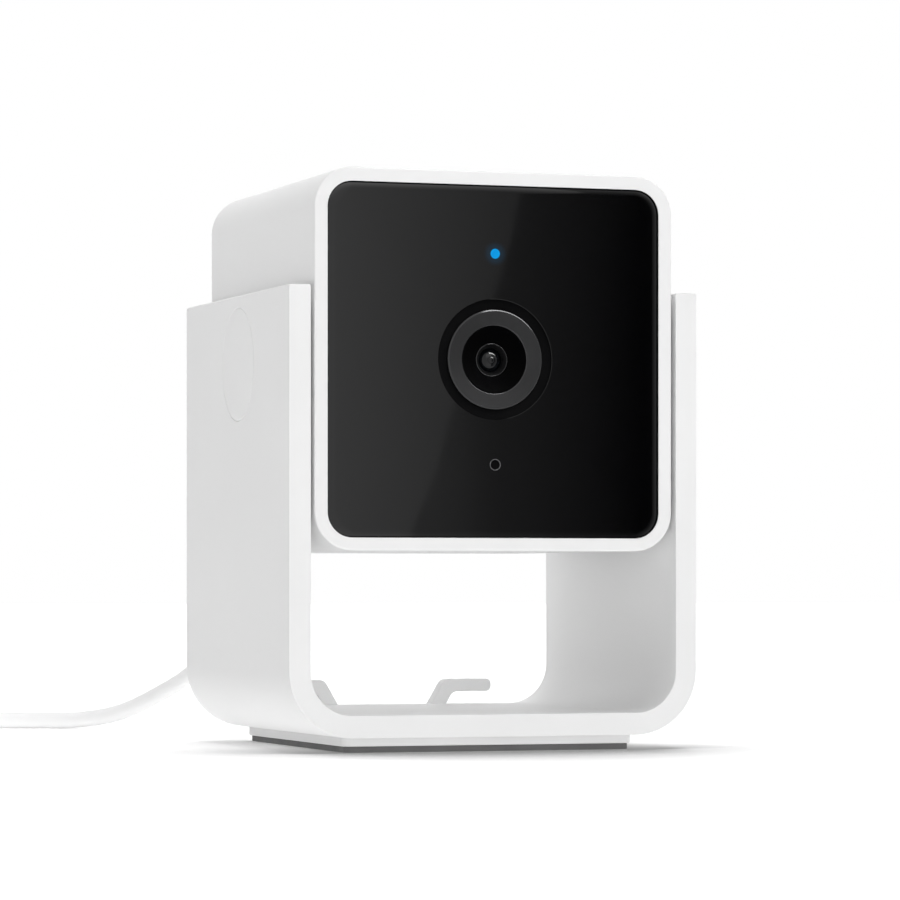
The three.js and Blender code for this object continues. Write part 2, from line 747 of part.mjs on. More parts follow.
// The front glass: a low dome that seats in the nose
function frontLens() {
  const edge = barrelFront + glassSink + glassDome;
  const dome = Array.from({ length: domeSteps + 1 }, (_, i) => {
    const a = ((Math.PI / 2) * i) / domeSteps;
    return [glassRadius * Math.sin(a), edge - glassDome * Math.cos(a)];
  });
  return turnedY([...dome, [glassRadius, glassBack], [0, glassBack]]);
}

// The square foot of the holder is open over the sensor, its tube takes the barrel
function lensHolder() {
  const base = blockY(holderWidth, holderWidth, mainBoardFront - holderBase, mainBoardFront);
  const neck = turnedY(rod(holderTubeRadius, mainBoardFront - holderBase - holderTubeLength,
    mainBoardFront - holderBase / 2));
  const cavityTop = mainBoardFront - holderCavityDepth;
  return cutAll(base.add(neck), [
    blockY(holderCavity, holderCavity, cavityTop, mainBoardFront + overrun),
    blockY(filterWidth + fitGap, filterWidth + fitGap, cavityTop - filterThickness,
      cavityTop + overrun),
    turnedY(rod(barrelBodyRadius + faceGap, cameraFront, cavityTop)),
  ]);
}

function irCutFilter() {
  const back = mainBoardFront - holderCavityDepth;
  return blockY(filterWidth, filterWidth, back - filterThickness, back);
}

function imageSensor() {
  return blockY(sensorWidth, sensorHeight, mainBoardFront - sensorThickness, mainBoardFront);
}

function ledBoard() {
  const back = ledBoardFront + ledBoardThickness;
  const outline = roundedRect(cavityWidth - ledBoardInset, cavityHeight - ledBoardInset,
    boardCorner, 0, -lensRise, 3);
  const posts = postPlaces.map(([x, z]) => turnedY(
    rod(postRadius + fitGap, ledBoardFront - overrun, back + overrun), smallSteps, x, z));
  return cutAll(prismY(outline, ledBoardFront, back), [
    turnedY(rod(ledBoardHoleRadius, ledBoardFront - overrun, back + overrun)), ...posts]);
}

function statusLed() {
  return blockY(statusLedWidth, statusLedHeight, ledBoardFront - statusLedThickness,
    ledBoardFront, 0, lightRise);
}

function statusLightPipe() {
  const end = ledBoardFront - statusLedThickness - fitGap;
  const flange = panelBack + lightPipeFlange;
  return turnedY([[0, panelFront], [lightPipeRadius, panelFront], [lightPipeRadius, panelBack],
    [lightPipeFlangeRadius, panelBack], [lightPipeFlangeRadius, flange],
    [lightPipeRadius, flange], [lightPipeRadius, end], [0, end]], smallSteps, 0, lightRise);
}

function microphone() {
  return blockY(micWidth, micHeight, ledBoardFront - micThickness, ledBoardFront, 0, -micDrop);
}

function micBoot() {
  return turnedY(tube(micBootBore, micBootRadius, panelBack,
    ledBoardFront - micThickness - faceGap), smallSteps, 0, -micDrop);
}

// An infrared light: a round can with a low dome, seen from the front only through the panel
function irLight() {
  const tip = ledBoardFront - irLightHeight;
  const dome = irLightRadius * irDomeShare;
  return turnedY([[0, tip], [dome, tip + irLightRadius * irTipShare], [irLightRadius, tip + dome],
    [irLightRadius, ledBoardFront], [0, ledBoardFront]], smallSteps);
}

function mainBoard() {
  const holes = postPlaces.map(([x, z]) => turnedY(rod(boardScrewRadius + looseGap,
    mainBoardFront - overrun, mainBoardBack + overrun), smallSteps, x, z));
  const outline = roundedRect(mainBoardWidth, mainBoardHeight, boardCorner, 0, -lensRise, 3);
  return cutAll(prismY(outline, mainBoardFront, mainBoardBack), holes);
}

function boardScrew() {
  const tip = mainBoardFront - boardScrewBite;
  const head = mainBoardBack + boardScrewHead;
  return turnedY([[0, tip], [boardScrewRadius, tip], [boardScrewRadius, mainBoardBack],
    [boardScrewHeadRadius, mainBoardBack], [boardScrewHeadRadius, head], [0, head]], smallSteps);
}

// A pressed steel can over the processor, open towards the board
function shieldCan() {
  const inner = 2 * canWall;
  return blockY(canWidth, canHeight, mainBoardBack, mainBoardBack + canDepth, canSideways, canUp)
    .subtract(blockY(canWidth - inner, canHeight - inner, mainBoardBack - overrun,
      mainBoardBack + canDepth - canWall, canSideways, canUp));
}

function radioModule() {
  return blockY(radioWidth, radioHeight, mainBoardBack, mainBoardBack + radioDepth,
    radioSideways, radioUp);
}

// A thin patch stuck under the roof of the housing
function antenna() {
  const roof = chamberHeight / 2 - lensRise;
  return prismZ(roundedRect(antennaWidth, antennaDepth, antennaThickness, 0, antennaBack, 2),
    roof - antennaThickness, roof);
}

// A flat cable from the back of the main board down to the socket board
function ribbonCable() {
  const start = mainBoardBack;
  const end = socketBoardBack - socketBoardDepth;
  const low = socketBoardTop;
  const mid = (start + end) / 2;
  const bend = (end - start) / 4;
  const high = low + ribbonThickness + 2 * bend;
  const quarter = Math.PI / 2;
  const half = ribbonThickness / 2;
  const middle = [
    [start, high, quarter],
    ...arc(mid - bend, high - bend, bend, quarter, 0, cornerSteps)
      .map((p, i) => [p.x, p.y, quarter * (1 - i / cornerSteps)]),
    ...arc(mid + bend, low + half + bend, bend, Math.PI, Math.PI + quarter, cornerSteps)
      .map((p, i) => [p.x, p.y, quarter * (i / cornerSteps)]),
    [end + ribbonLap, low + half, quarter],
  ];
  const side = (s) => middle.map(([y, z, a]) =>
    new THREE.Vector2(y + s * half * Math.cos(a), z + s * half * Math.sin(a)));
  const outline = [...side(1), ...side(-1).reverse()];
  const turn = THREE.ShapeUtils.area(outline) < 0 ? outline.reverse() : outline;
  return prismX(turn, ribbonSideways - ribbonWidth / 2, ribbonSideways + ribbonWidth / 2);
}

// The round grille on the back, drilled in rings of six, twelve and eighteen
function speakerGrille() {
  const front = cameraBack - grilleThickness;
  const places = [[0, 0]];
  for (let ring = 1; ring <= grilleRings; ring += 1) {
    for (let i = 0; i < 6 * ring; i += 1) {
      const a = (Math.PI * i) / (3 * ring);
      places.push([ring * grillePitch * Math.cos(a), ring * grillePitch * Math.sin(a)]);
    }
  }
  const holes = places.map(([x, z]) => circle(grilleHoleRadius, x, z, holeSteps).reverse());
  return prismY(circle(grilleRadius, 0, 0, hingeSteps), front, cameraBack, 0, 1, holes);
}

// The basket of the speaker faces the grille, its magnet faces the boards
const speakerFace = cavityBack;
const speakerBase = speakerFace - speakerDepth;
function speakerFrame() {
  const inner = speakerRadius - speakerWall;
  const hub = magnetRadius - speakerWall;
  return turnedY([[inner - speakerLip, speakerFace], [speakerRadius, speakerFace],
    [speakerRadius, speakerFace - speakerLip], [magnetRadius, speakerBase],
    [hub - speakerWall, speakerBase], [hub - speakerWall, speakerBase + speakerWall],
    [hub, speakerBase + speakerWall], [inner, speakerFace - speakerLip],
    [inner, speakerFace - speakerWall], [inner - speakerLip, speakerFace - speakerWall]],
  hingeSteps);
}

function speakerCone() {
  const rim = speakerRadius - speakerWall - looseGap;
  const edge = speakerFace - speakerWall;
  const low = edge - coneDrop;
  return turnedY([[0, low + coneThickness], [coneDomeRadius, low], [rim - coneRoll, edge],
    [rim, edge], [rim, edge - coneThickness], [rim - coneRoll, edge - coneThickness],
    [coneDomeRadius, low - coneThickness], [0, low]], roundSteps);
}

function speakerMagnet() {
  return turnedY(rod(magnetRadius - fitGap, speakerBase - magnetDepth, speakerBase));
}

function socketBoard() {
  const back = socketBoardBack;
  const outline = roundedRect(socketBoardWidth, socketBoardDepth, boardCorner / 2, 0,
    back - socketBoardDepth / 2, 2);
  return prismZ(outline, socketBoardFloor, socketBoardTop);
}

// The micro USB socket: a folded shell round a short tongue
function usbSocket() {
  const back = cavityBack;
  const inner = 2 * socketWall;
  const deep = back - socketDepth + socketWall;
  const shell = blockY(socketWidth, socketHeight, back - socketDepth, back, 0, -socketDrop,
    socketCorner)
    .subtract(blockY(socketWidth - inner, socketHeight - inner, deep, back + overrun,
      0, -socketDrop, socketWall));
  return shell.add(blockY(tongueWidth, tongueThickness, deep - socketWall / 2,
    deep + tongueLength, 0, -socketDrop));
}

function tactSwitch() {
  const back = cavityBack - buttonFlange - faceGap - buttonTravel - fitGap;
  const face = back - switchStem;
  const body = blockY(switchWidth, switchHeight, face - switchDepth, face, buttonSideways,
    socketBoardTop + switchHeight / 2);
  return body.add(turnedY(rod(switchStemRadius, face - switchStem, back), smallSteps,
    buttonSideways, -socketDrop));
}

// The button on the back: a dished cap with a flange behind the wall
function setupButton() {
  const flangeBack = cavityBack - faceGap;
  const face = cameraBack;
  return turnedY([[0, flangeBack - buttonFlange], [buttonFlangeRadius, flangeBack - buttonFlange],
    [buttonFlangeRadius, flangeBack], [buttonRadius, flangeBack],
    [buttonRadius, face - buttonDish / 2], [buttonRadius - buttonDish, face],
    [buttonRadius / 2, face - buttonDish * buttonShoulderShare], [0, face - buttonDish]],
  roundSteps, buttonSideways, -socketDrop);
}

// A tapered strain relief with grooves, from its root at station 0 to its tip, turned about Y
function reliefProfile(root, tip) {
  const start = -reliefLength * reliefRootShare;
  const rings = reliefRings + reliefEndShare;
  const [edge, floor, floorEnd, edgeEnd] = reliefGrooveShares;
  const points = [[0, start], [root, start], [root, 0]];
  for (let i = 0; i < reliefRings; i += 1) {
    const at = (share) => reliefLength * ((i + share) / rings);
    const radius = root + ((tip - root) * (i + reliefEndShare)) / rings;
    points.push([radius, at(edge)], [radius - reliefGroove, at(floor)],
      [radius - reliefGroove, at(floorEnd)], [radius, at(edgeEnd)]);
  }
  return [...points, [tip, reliefLength], [0, reliefLength]];
}

function plugOvermould() {
  const back = plugFace + plugLength;
  const body = prismY(roundedRect(plugWidth, plugHeight, plugRadius, 0, 0, 4), plugFace, back,
    plugEdge, 2);
  const relief = toSolid(lathe(reliefProfile(reliefRootRadius, reliefTipRadius), smallSteps)
    .translate(0, back, 0));
  return body.add(relief);
}

// A hollow plug shell that opens at its tip; y runs from the tip to the root
function plugShell(width, height, radius, tip, root) {
  const inner = 2 * shellWall;
  return prismY(roundedRect(width, height, radius, 0, 0, 3), tip, root)
    .subtract(prismY(roundedRect(width - inner, height - inner, radius - shellWall / 2, 0, 0, 3),
      tip - overrun, root - 2 * shellWall));
}

const microPlugShell = () => plugShell(plugShellWidth, plugShellHeight, plugShellRadius,
  plugFace - plugShellLength, plugFace);

function usbOvermould() {
  const front = -usbLength;
  const body = prismY(roundedRect(usbWidth, usbHeight, plugRadius, 0, 0, 4), front, 0,
    plugEdge, 2);
  const relief = toSolid(lathe(reliefProfile(reliefRootRadius, reliefTipRadius), smallSteps));
  return body.add(relief);
}

// The far plug's shell has two square windows in each flat face
function usbShell() {
  const tip = -usbLength - usbShellLength;
  const shell = plugShell(usbShellWidth, usbShellHeight, plugShellRadius, tip, -usbLength);
  const x = usbShellWidth / 2 - usbWindowInset - usbWindow / 2;
  const windows = [1, -1].map((side) => prismZ(roundedRect(usbWindow, usbWindow,
    usbWindow * leastCornerShare, side * x, tip + usbWindowBack, 1), -usbHeight, usbHeight));
  return cutAll(shell, windows);
}

// The route of the cord from the plug to the coil, by hand; it lies on the surface from x = -33
const leadRoute = [
  [0, cordExit + buttGap, lensZ - socketDrop], [0, 56.5, 35.85], [-0.8, 60.1, 34.6],
  [-3.0, 63.7, 30.85], [-6.2, 66.5, 25.4], [-9.6, 68.7, 19.35], [-13.0, 70.7, 13.8],
  [-16.8, 72.8, 9.15], [-21.4, 76.0, 5.7], [-26.8, 79.8, 2.7], [-32.6, 83.4, 1.45],
  [-38.6, 86.0, 1.36], [-44.8, 88.2, 1.36], [-51.0, 90.27, 1.4], [-57.0, 92.27, 1.8],
];

// The way of the cord from the top of the coil down to the far plug, by hand
const tailRoute = [[-89.4, 93.8, 9.4], [-95.2, 90.6, 7.2], [-100.4, 85.8, 5.2]];

// The coil: in, out, in and out again, one layer higher after each reversal
const coilOuterRadius = coilMiddleRadius + (coilPitch * coilTurns) / (2 * coilLayers);
const coilStart = new THREE.Vector3(coilEntryX, coilEntryY, coilLift);
const coilAngle = coilHeading - Math.PI / 2;
const coilCentre = new THREE.Vector3(
  coilEntryX - coilOuterRadius * Math.cos(coilAngle),
  coilEntryY - coilOuterRadius * Math.sin(coilAngle), 0);

function coilPoint(turn) {
  const span = coilTurns / coilLayers;
  const layer = Math.min(Math.floor(turn / span), coilLayers - 1);
  const into = turn / span - layer;
  const inward = layer % 2 === 0 ? into : 1 - into;
  const radius = coilOuterRadius - coilPitch * span * inward;
  let climb = 0;
  for (let k = 1; k < coilLayers; k += 1) {
    climb += THREE.MathUtils.smoothstep(turn - k * span, -coilClimbTurns, coilClimbTurns);
  }
  const a = coilAngle + 2 * Math.PI * turn;
  return new THREE.Vector3(coilCentre.x + radius * Math.cos(a),
    coilCentre.y + radius * Math.sin(a), coilLift + coilPitch * climb);
}

function coilCentreline() {
  const count = Math.round(coilTurns * coilSteps);
  const turns = Array.from({ length: count + 1 }, (_, i) => coilPoint((coilTurns * i) / count));
  const first = turns[0].clone().sub(turns[1]).setZ(0).setLength(cordDiameter).add(turns[0]);
  const last = turns[count].clone().sub(turns[count - 1]).setZ(0).setLength(cordDiameter)
    .add(turns[count]);
  return [first, ...turns, last];
}

// A tube of flat-sided section along points, closed at both ends
function tubeAlong(points, radius, sides) {
  const positions = [];
  const index = [];
  const up = new THREE.Vector3(0, 0, 1);
  points.forEach((p, i) => {
    const before = points[Math.max(i - 1, 0)];
    const after = points[Math.min(i + 1, points.length - 1)];
    const along = after.clone().sub(before).normalize();
    const across = along.clone().cross(up).normalize();
    const over = across.clone().cross(along);
    for (let k = 0; k < sides; k += 1) {
      const a = (2 * Math.PI * k) / sides;
      const v = p.clone().addScaledVector(across, radius * Math.cos(a))
        .addScaledVector(over, radius * Math.sin(a));
      positions.push(v.x, v.y, v.z);
    }
  });
  for (let i = 0; i < points.length - 1; i += 1) {
    for (let k = 0; k < sides; k += 1) {
      const [a, b] = [i * sides + k, i * sides + ((k + 1) % sides)];
      index.push(a, a + sides, b, b, a + sides, b + sides);
    }
  }
  const end = (points.length - 1) * sides;
  for (let k = 1; k < sides - 1; k += 1) {
    index.push(0, k, k + 1, end, end + k + 1, end + k);
  }
  const geometry = new THREE.BufferGeometry();
  geometry.setAttribute('position', new THREE.Float32BufferAttribute(positions, 3));
  geometry.setIndex(index);
  geometry.computeVertexNormals();
  return geometry;
}

// A free stretch of cord: its section is swept along a smooth curve through the route
function cordAlong(points, steps) {
  const path = new THREE.CatmullRomCurve3(points, false, 'centripetal');
  const section = new THREE.Shape(circle(cordRadius, 0, 0, cordSides));
  const geometry = new THREE.ExtrudeGeometry(section, { steps, extrudePath: path });
  return { solid: toSolid(geometry), length: path.getLength() };
}

const coilLine = coilCentreline();

// The way back from a point along a direction, for the straight ends that meet the coil
function backFrom(point, towards, distance) {
  return point.clone().sub(towards).setZ(0).setLength(distance).add(point);
}

function leadPoints() {
  const meet = backFrom(coilLine[0], coilLine[1], buttGap);
  const run = backFrom(coilLine[0], coilLine[1], buttGap + cordDiameter);
  return [...leadRoute.map((p) => new THREE.Vector3(...p)), run, meet];
}

function tailPoints() {
  const n = coilLine.length;
  const meet = backFrom(coilLine[n - 1], coilLine[n - 2], buttGap);
  const run = backFrom(coilLine[n - 1], coilLine[n - 2], buttGap + cordDiameter);
  const plugZ = usbHeight / 2;
  return [meet, run, ...tailRoute.map((p) => new THREE.Vector3(...p)),
  new THREE.Vector3(usbX + cordRadius, usbEntryY + 4 * cordDiameter, plugZ + faceGap),
  new THREE.Vector3(usbX, usbEntryY + 2 * cordDiameter, plugZ),
  new THREE.Vector3(usbX, usbEntryY + cordDiameter, plugZ),
  new THREE.Vector3(usbX, usbEntryY + buttGap, plugZ)];
}

// The least clear space between turns of the coil, measured on its centre line
function leastCoilGap() {
  let least = Infinity;
  for (let i = 0; i < coilLine.length; i += 1) {
    for (let j = i + coilSteps / 2; j < coilLine.length; j += 1) {
      least = Math.min(least, coilLine[i].distanceTo(coilLine[j]));
    }
  }
  return least - cordDiameter;
}

// The tie goes once round the bundle on the side of the coil that faces -Y
function coilTie() {
  const halfTurn = coilPitch * (coilTurns / coilLayers / 2);
  const reach = halfTurn + cordRadius + tieSlack;
  const squeeze = tieWidth * tieWidth / (8 * (coilMiddleRadius - reach));
  const inner = coilCentre.y - coilMiddleRadius + reach + squeeze;
  const outer = coilCentre.y - coilMiddleRadius - reach;
  const low = tieThickness;
  const high = coilLift + (coilLayers - 1) * coilPitch + cordRadius + tieSlack;
  const y = (inner + outer) / 2;
  const z = (low + high) / 2;
  const wide = inner - outer;
  const tall = high - low;
  const wall = 2 * tieThickness;
  return prismX(
    roundedRect(wide + wall, tall + wall, tieRadius + tieThickness, y, z, 4),
    coilCentre.x - tieWidth / 2, coilCentre.x + tieWidth / 2, 0, 1,
    [roundedRect(wide, tall, tieRadius, y, z, 4).reverse()]);
}

// Assembly: the stand, the camera on its hinge and the lead
const part = new THREE.Group();
const stand = new THREE.Group();
const camera = new THREE.Group();
camera.position.set(0, 0, lensZ);
const lead = new THREE.Group();
part.add(stand, camera, lead);

function place(group, name, solid, material, position = [0, 0, 0], turn = 0) {
  const mesh = new THREE.Mesh(solid.isBufferGeometry ? solid : toGeometry(solid), material());
  mesh.name = name;
  mesh.position.set(...position);
  mesh.rotation.z = turn;
  group.add(mesh);
}

place(stand, 'stand_yoke', standYoke(), whitePlastic);
place(stand, 'base_plate', basePlate(), silverMetal);
place(stand, 'foot_pad', footPad(), darkRubber);
baseScrewPlaces().forEach(([x, y], i) =>
  place(stand, `base_screw_${i + 1}`, baseScrew(), steel, [x, y, 0]));

for (const [side, turn] of [['right', 0], ['left', Math.PI]]) {
  place(stand, `pivot_cap_${side}`, pivotCap(), whitePlastic, [0, pivotY, pivotZ], turn);
  place(camera, `pivot_bush_${side}`, pivotBush(), brass, [0, pivotY, 0], turn);
  place(camera, `friction_washer_${side}`, frictionWasher(), steel, [0, pivotY, 0], turn);
  place(camera, `hinge_screw_${side}`, hingeScrew(), steel, [0, pivotY, 0], turn);
}

place(camera, 'camera_housing', housing(), whitePlastic);
place(camera, 'front_panel', frontPanel(), blackGloss);
place(camera, 'front_chassis', chassis(), blackPlastic);
place(camera, 'lens_surround', lensSurround(), blackPlastic);
place(camera, 'lens_trim_ring', lensTrimRing(), greyMetal);
place(camera, 'lens_baffle', lensBaffle(), blackPlastic);
place(camera, 'lens_barrel', lensBarrel(), blackPlastic);
place(camera, 'front_lens', frontLens(), lensGlass);
place(camera, 'lens_holder', lensHolder(), blackPlastic);
place(camera, 'ir_cut_filter', irCutFilter(), lensGlass);
place(camera, 'image_sensor', imageSensor(), chipBlack);
place(camera, 'led_board', ledBoard(), boardGreen);
place(camera, 'ir_light_right', irLight(), clearPlastic, [irLightOffset, 0, 0]);
place(camera, 'ir_light_left', irLight(), clearPlastic, [-irLightOffset, 0, 0]);
place(camera, 'status_led', statusLed(), ribbonWhite);
place(camera, 'status_light_pipe', statusLightPipe(), clearPlastic);
place(camera, 'microphone', microphone(), steel);
place(camera, 'microphone_boot', micBoot(), darkRubber);
place(camera, 'main_board', mainBoard(), boardGreen);
postPlaces.forEach(([x, z], i) =>
  place(camera, `board_screw_${i + 1}`, boardScrew(), steel, [x, 0, z]));
place(camera, 'shield_can', shieldCan(), steel);
place(camera, 'radio_module', radioModule(), chipBlack);
place(camera, 'antenna_patch', antenna(), brass);
place(camera, 'ribbon_cable', ribbonCable(), ribbonWhite);
place(camera, 'speaker_grille', speakerGrille(), whitePlastic, [0, 0, speakerUp]);
place(camera, 'speaker_frame', speakerFrame(), steel, [0, 0, speakerUp]);
place(camera, 'speaker_cone', speakerCone(), conePaper, [0, 0, speakerUp]);
place(camera, 'speaker_magnet', speakerMagnet(), steel, [0, 0, speakerUp]);
place(camera, 'socket_board', socketBoard(), boardGreen);
place(camera, 'usb_socket', usbSocket(), steel);
place(camera, 'button_switch', tactSwitch(), chipBlack);
place(camera, 'setup_button', setupButton(), whitePlastic);

const leadCord = cordAlong(leadPoints(), leadSteps);
const tailCord = cordAlong(tailPoints(), tailSteps);
place(lead, 'micro_plug_body', plugOvermould(), cordWhite, [0, 0, lensZ - socketDrop]);
place(lead, 'micro_plug_shell', microPlugShell(), steel, [0, 0, lensZ - socketDrop]);
place(lead, 'cord_lead', leadCord.solid, cordWhite);
place(lead, 'cord_coil', tubeAlong(coilLine, cordRadius, coilSides), cordWhite);
place(lead, 'coil_tie', coilTie(), darkRubber);
place(lead, 'cord_tail', tailCord.solid, cordWhite);
const usbPlace = [usbX, usbEntryY - reliefLength, usbHeight / 2];
place(lead, 'usb_plug_body', usbOvermould(), cordWhite, usbPlace);
place(lead, 'usb_plug_shell', usbShell(), steel, usbPlace);

const coilLength = coilLine.slice(1).reduce((sum, p, i) => sum + p.distanceTo(coilLine[i]), 0);
console.log(`least gap between turns of the coil: ${leastCoilGap().toFixed(3)} mm`);
console.log(`cord: lead ${leadCord.length.toFixed(1)}, coil ${coilLength.toFixed(1)}, tail `
  + `${tailCord.length.toFixed(1)}, all ${(leadCord.length + coilLength + tailCord.length).toFixed(1)} mm`);

export default part;
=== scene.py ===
# %% [markdown]
# # A pet camera that tilts between the arms of its stand
#
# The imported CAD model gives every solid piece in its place. This lesson dresses it: each surface
# that shows is modelled again with soft edges and fine steps, and each piece gets the finish of
# its real material. The inside pieces stay as the CAD made them and only change their finish.

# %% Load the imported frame
import json
import math
import bpy
import bmesh
from mathutils import Matrix, Vector


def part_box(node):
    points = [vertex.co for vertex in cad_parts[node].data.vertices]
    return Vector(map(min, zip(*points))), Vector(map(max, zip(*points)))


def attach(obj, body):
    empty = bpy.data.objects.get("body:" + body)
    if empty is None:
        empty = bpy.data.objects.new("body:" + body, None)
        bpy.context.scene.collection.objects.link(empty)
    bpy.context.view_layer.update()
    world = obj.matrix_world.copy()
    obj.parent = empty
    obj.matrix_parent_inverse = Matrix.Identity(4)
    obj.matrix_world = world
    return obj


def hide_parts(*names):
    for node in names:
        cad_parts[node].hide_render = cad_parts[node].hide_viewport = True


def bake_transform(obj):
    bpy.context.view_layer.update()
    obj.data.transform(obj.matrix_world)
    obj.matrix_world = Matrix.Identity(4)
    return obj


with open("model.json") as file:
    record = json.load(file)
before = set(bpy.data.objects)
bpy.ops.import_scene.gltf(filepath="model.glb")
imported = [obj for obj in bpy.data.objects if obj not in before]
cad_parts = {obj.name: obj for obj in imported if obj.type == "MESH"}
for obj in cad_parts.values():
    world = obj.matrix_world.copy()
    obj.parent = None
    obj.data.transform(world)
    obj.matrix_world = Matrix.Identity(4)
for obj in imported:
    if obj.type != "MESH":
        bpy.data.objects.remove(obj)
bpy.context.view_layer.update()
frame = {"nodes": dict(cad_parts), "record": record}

MM = 0.001
SCENE = bpy.context.scene
print("nodes in the frame:", len(frame["nodes"]))

# %% [markdown]
# ## The viewpoint
#
# The photograph was taken with a long lens, level and low, from the left of the object. The frame
# is shifted upwards in place of a tilt, so that upright edges stay upright.

# %% Put the camera where the photographer stood
YAW = math.radians(18.8787)
EYE = (-0.1949639, -0.5768988, 0.0235240)
SENSOR_MM, FOCAL_MM, FRAME_SHIFT = 36, 166.8273, 0.148519
photo_lens = bpy.data.cameras.new("photo_lens")
photo_lens.sensor_width = SENSOR_MM
photo_lens.lens = FOCAL_MM
photo_lens.shift_y = FRAME_SHIFT
photo_camera = bpy.data.objects.new("photo_camera", photo_lens)
photo_camera.location = EYE
photo_camera.rotation_euler = (math.pi / 2, 0, -YAW)
SCENE.collection.objects.link(photo_camera)
SCENE.camera = photo_camera
print("camera at", tuple(round(c, 3) for c in EYE))

# %% [markdown]
# ## Colours and nodes
#
# Colours are written as they look on a screen, in sRGB hex, and one function turns them linear for
# the shader. One more function adds a node, sets it and links it. A finish is built up like paint:
# it starts as one colour, and each coat brings some values of the shader to new ones, by as much
# as a share between 0 and 1 says. The share comes from patchy noise, from a place or from a band.


# %% Helpers for finishes
def linear(hex_colour):
    """An sRGB hex colour as linear RGBA."""
    parts = [int(hex_colour[i:i + 2], 16) / 255 for i in (1, 3, 5)]
    return [c / 12.92 if c <= 0.04045 else ((c + 0.055) / 1.055) ** 2.4 for c in parts] + [1.0]


def add_node(tree, kind, settings=None, inputs=None):
    """Adds a shader node, sets its options, and fills or links its inputs."""
    made = tree.nodes.new("ShaderNode" + kind)
    for name, value in (settings or {}).items():
        setattr(made, name, value)
    for name, value in (inputs or {}).items():
        if isinstance(value, bpy.types.NodeSocket):
            tree.links.new(value, made.inputs[name])
        else:
            made.inputs[name].default_value = value
    return made


def start_finish(name, colour, roughness, metallic=0.0, ior=1.5, shine=0.5):
    """A new material of one colour, its tree, its main shader and the object's coordinates."""
    material = bpy.data.materials.new(name)
    material.use_nodes = True
    tree = material.node_tree
    shader = tree.nodes["Principled BSDF"]
    shader.inputs["Base Color"].default_value = linear(colour)
    shader.inputs["Roughness"].default_value = roughness
    shader.inputs["Metallic"].default_value = metallic
    shader.inputs["IOR"].default_value = ior
    shader.inputs["Specular IOR Level"].default_value = shine
    print("finish:", name)
    return material, tree, shader, add_node(tree, "TexCoord").outputs["Object"]


# How a Mix node is set for a kind of socket: its type, its two values and its result
MIX_PLUGS = {"RGBA": ("RGBA", 6, 7, 2), "VALUE": ("FLOAT", 2, 3, 0)}


def add_coat(tree, shader, share, changes):
    """Brings values of the shader to new ones, by as much as share says."""
    for name, value in changes.items():
        socket = shader.inputs[name]
        kind, below, above, result = MIX_PLUGS[socket.type]
        before = socket.links[0].from_socket if socket.links else socket.default_value
        coat = add_node(tree, "Mix", {"data_type": kind}, {0: share, below: before, above: value})
        tree.links.new(coat.outputs[result], socket)


def patches(tree, place, size_mm):
    """A share that drifts between 0 and 1 in patches about size_mm across."""
    noise = add_node(tree, "TexNoise", inputs={"Vector": place, "Scale": 1 / (size_mm * MM)})
    stretched = add_node(tree, "MapRange", inputs={
        "Value": noise.outputs["Fac"], "From Min": 0.3, "From Max": 0.7})
    return stretched.outputs["Result"]


def near_point(tree, place, point_mm, full_mm, gone_mm):
    """A share that is 1 within full_mm of a point and fades smoothly to 0 at gone_mm."""
    away = add_node(tree, "VectorMath", {"operation": "DISTANCE"}, {
        0: place, 1: [c * MM for c in point_mm]})
    fading = add_node(tree, "MapRange", {"interpolation_type": "SMOOTHERSTEP"}, {
        "Value": away.outputs["Value"], "From Min": full_mm * MM, "From Max": gone_mm * MM,
        "To Min": 1.0, "To Max": 0.0})
    return fading.outputs["Result"]


def fine_grain(tree, shader, place, size_mm, depth_mm):
    """Roughens the surface with grains of a size and a depth."""
    noise = add_node(tree, "TexNoise", inputs={"Vector": place, "Scale": 1 / (size_mm * MM)})
    bump = add_node(tree, "Bump", inputs={
        "Height": noise.outputs["Fac"], "Distance": depth_mm * MM, "Strength": 1.0})
    tree.links.new(bump.outputs["Normal"], shader.inputs["Normal"])


def plain_finish(name, light, dark, patch_mm, rough, grain_mm, depth_mm, **constants):
    """A finish of one substance: a faint drift of tone, uneven gloss and a fine grain."""
    material, tree, shader, place = start_finish(name, light, rough[0], **constants)
    add_coat(tree, shader, patches(tree, place, patch_mm), {"Base Color": linear(dark)})
    add_coat(tree, shader, patches(tree, place, patch_mm / 3), {"Roughness": rough[1]})
    fine_grain(tree, shader, place, grain_mm, depth_mm)
    return material


print("helpers for finishes are ready")

# %% [markdown]
# ## Shapes
#
# Every shape starts from a block, a ring, a flat face or the outline of a turned part. Blocks get
# their round corners from the bevel operator. Holes are rings set in a face: the rings are pushed
# in to make the walls, the face is taken out, and what is left is filled again round them.


# %% Helpers for shapes
AXIS = {"X": Vector((1, 0, 0)), "Y": Vector((0, 1, 0)), "Z": Vector((0, 0, 1))}
SIDE = {"X": Vector((0, 0, 1)), "Y": Vector((1, 0, 0)), "Z": Vector((1, 0, 0))}
FACING = {
    "X": Matrix(((0, 0, 1, 0), (1, 0, 0, 0), (0, 1, 0, 0), (0, 0, 0, 1))),
    "Y": Matrix(((1, 0, 0, 0), (0, 0, -1, 0), (0, 1, 0, 0), (0, 0, 0, 1))),
    "Z": Matrix.Identity(4),
}
NEAR = 1e-6


def block(low, high):
    """A box between two corners, in millimetres."""
    low, high = Vector(low) * MM, Vector(high) * MM
    shape = bmesh.new()
    bmesh.ops.create_cube(shape, size=1, matrix=Matrix.Translation((low + high) / 2)
                          @ Matrix.Diagonal((*(high - low), 1)))
    return shape


def edges_along(shape, axis):
    """The edges that run along one axis."""
    return [e for e in shape.edges
            if abs((e.verts[0].co - e.verts[1].co).normalized().dot(AXIS[axis])) > 0.99]


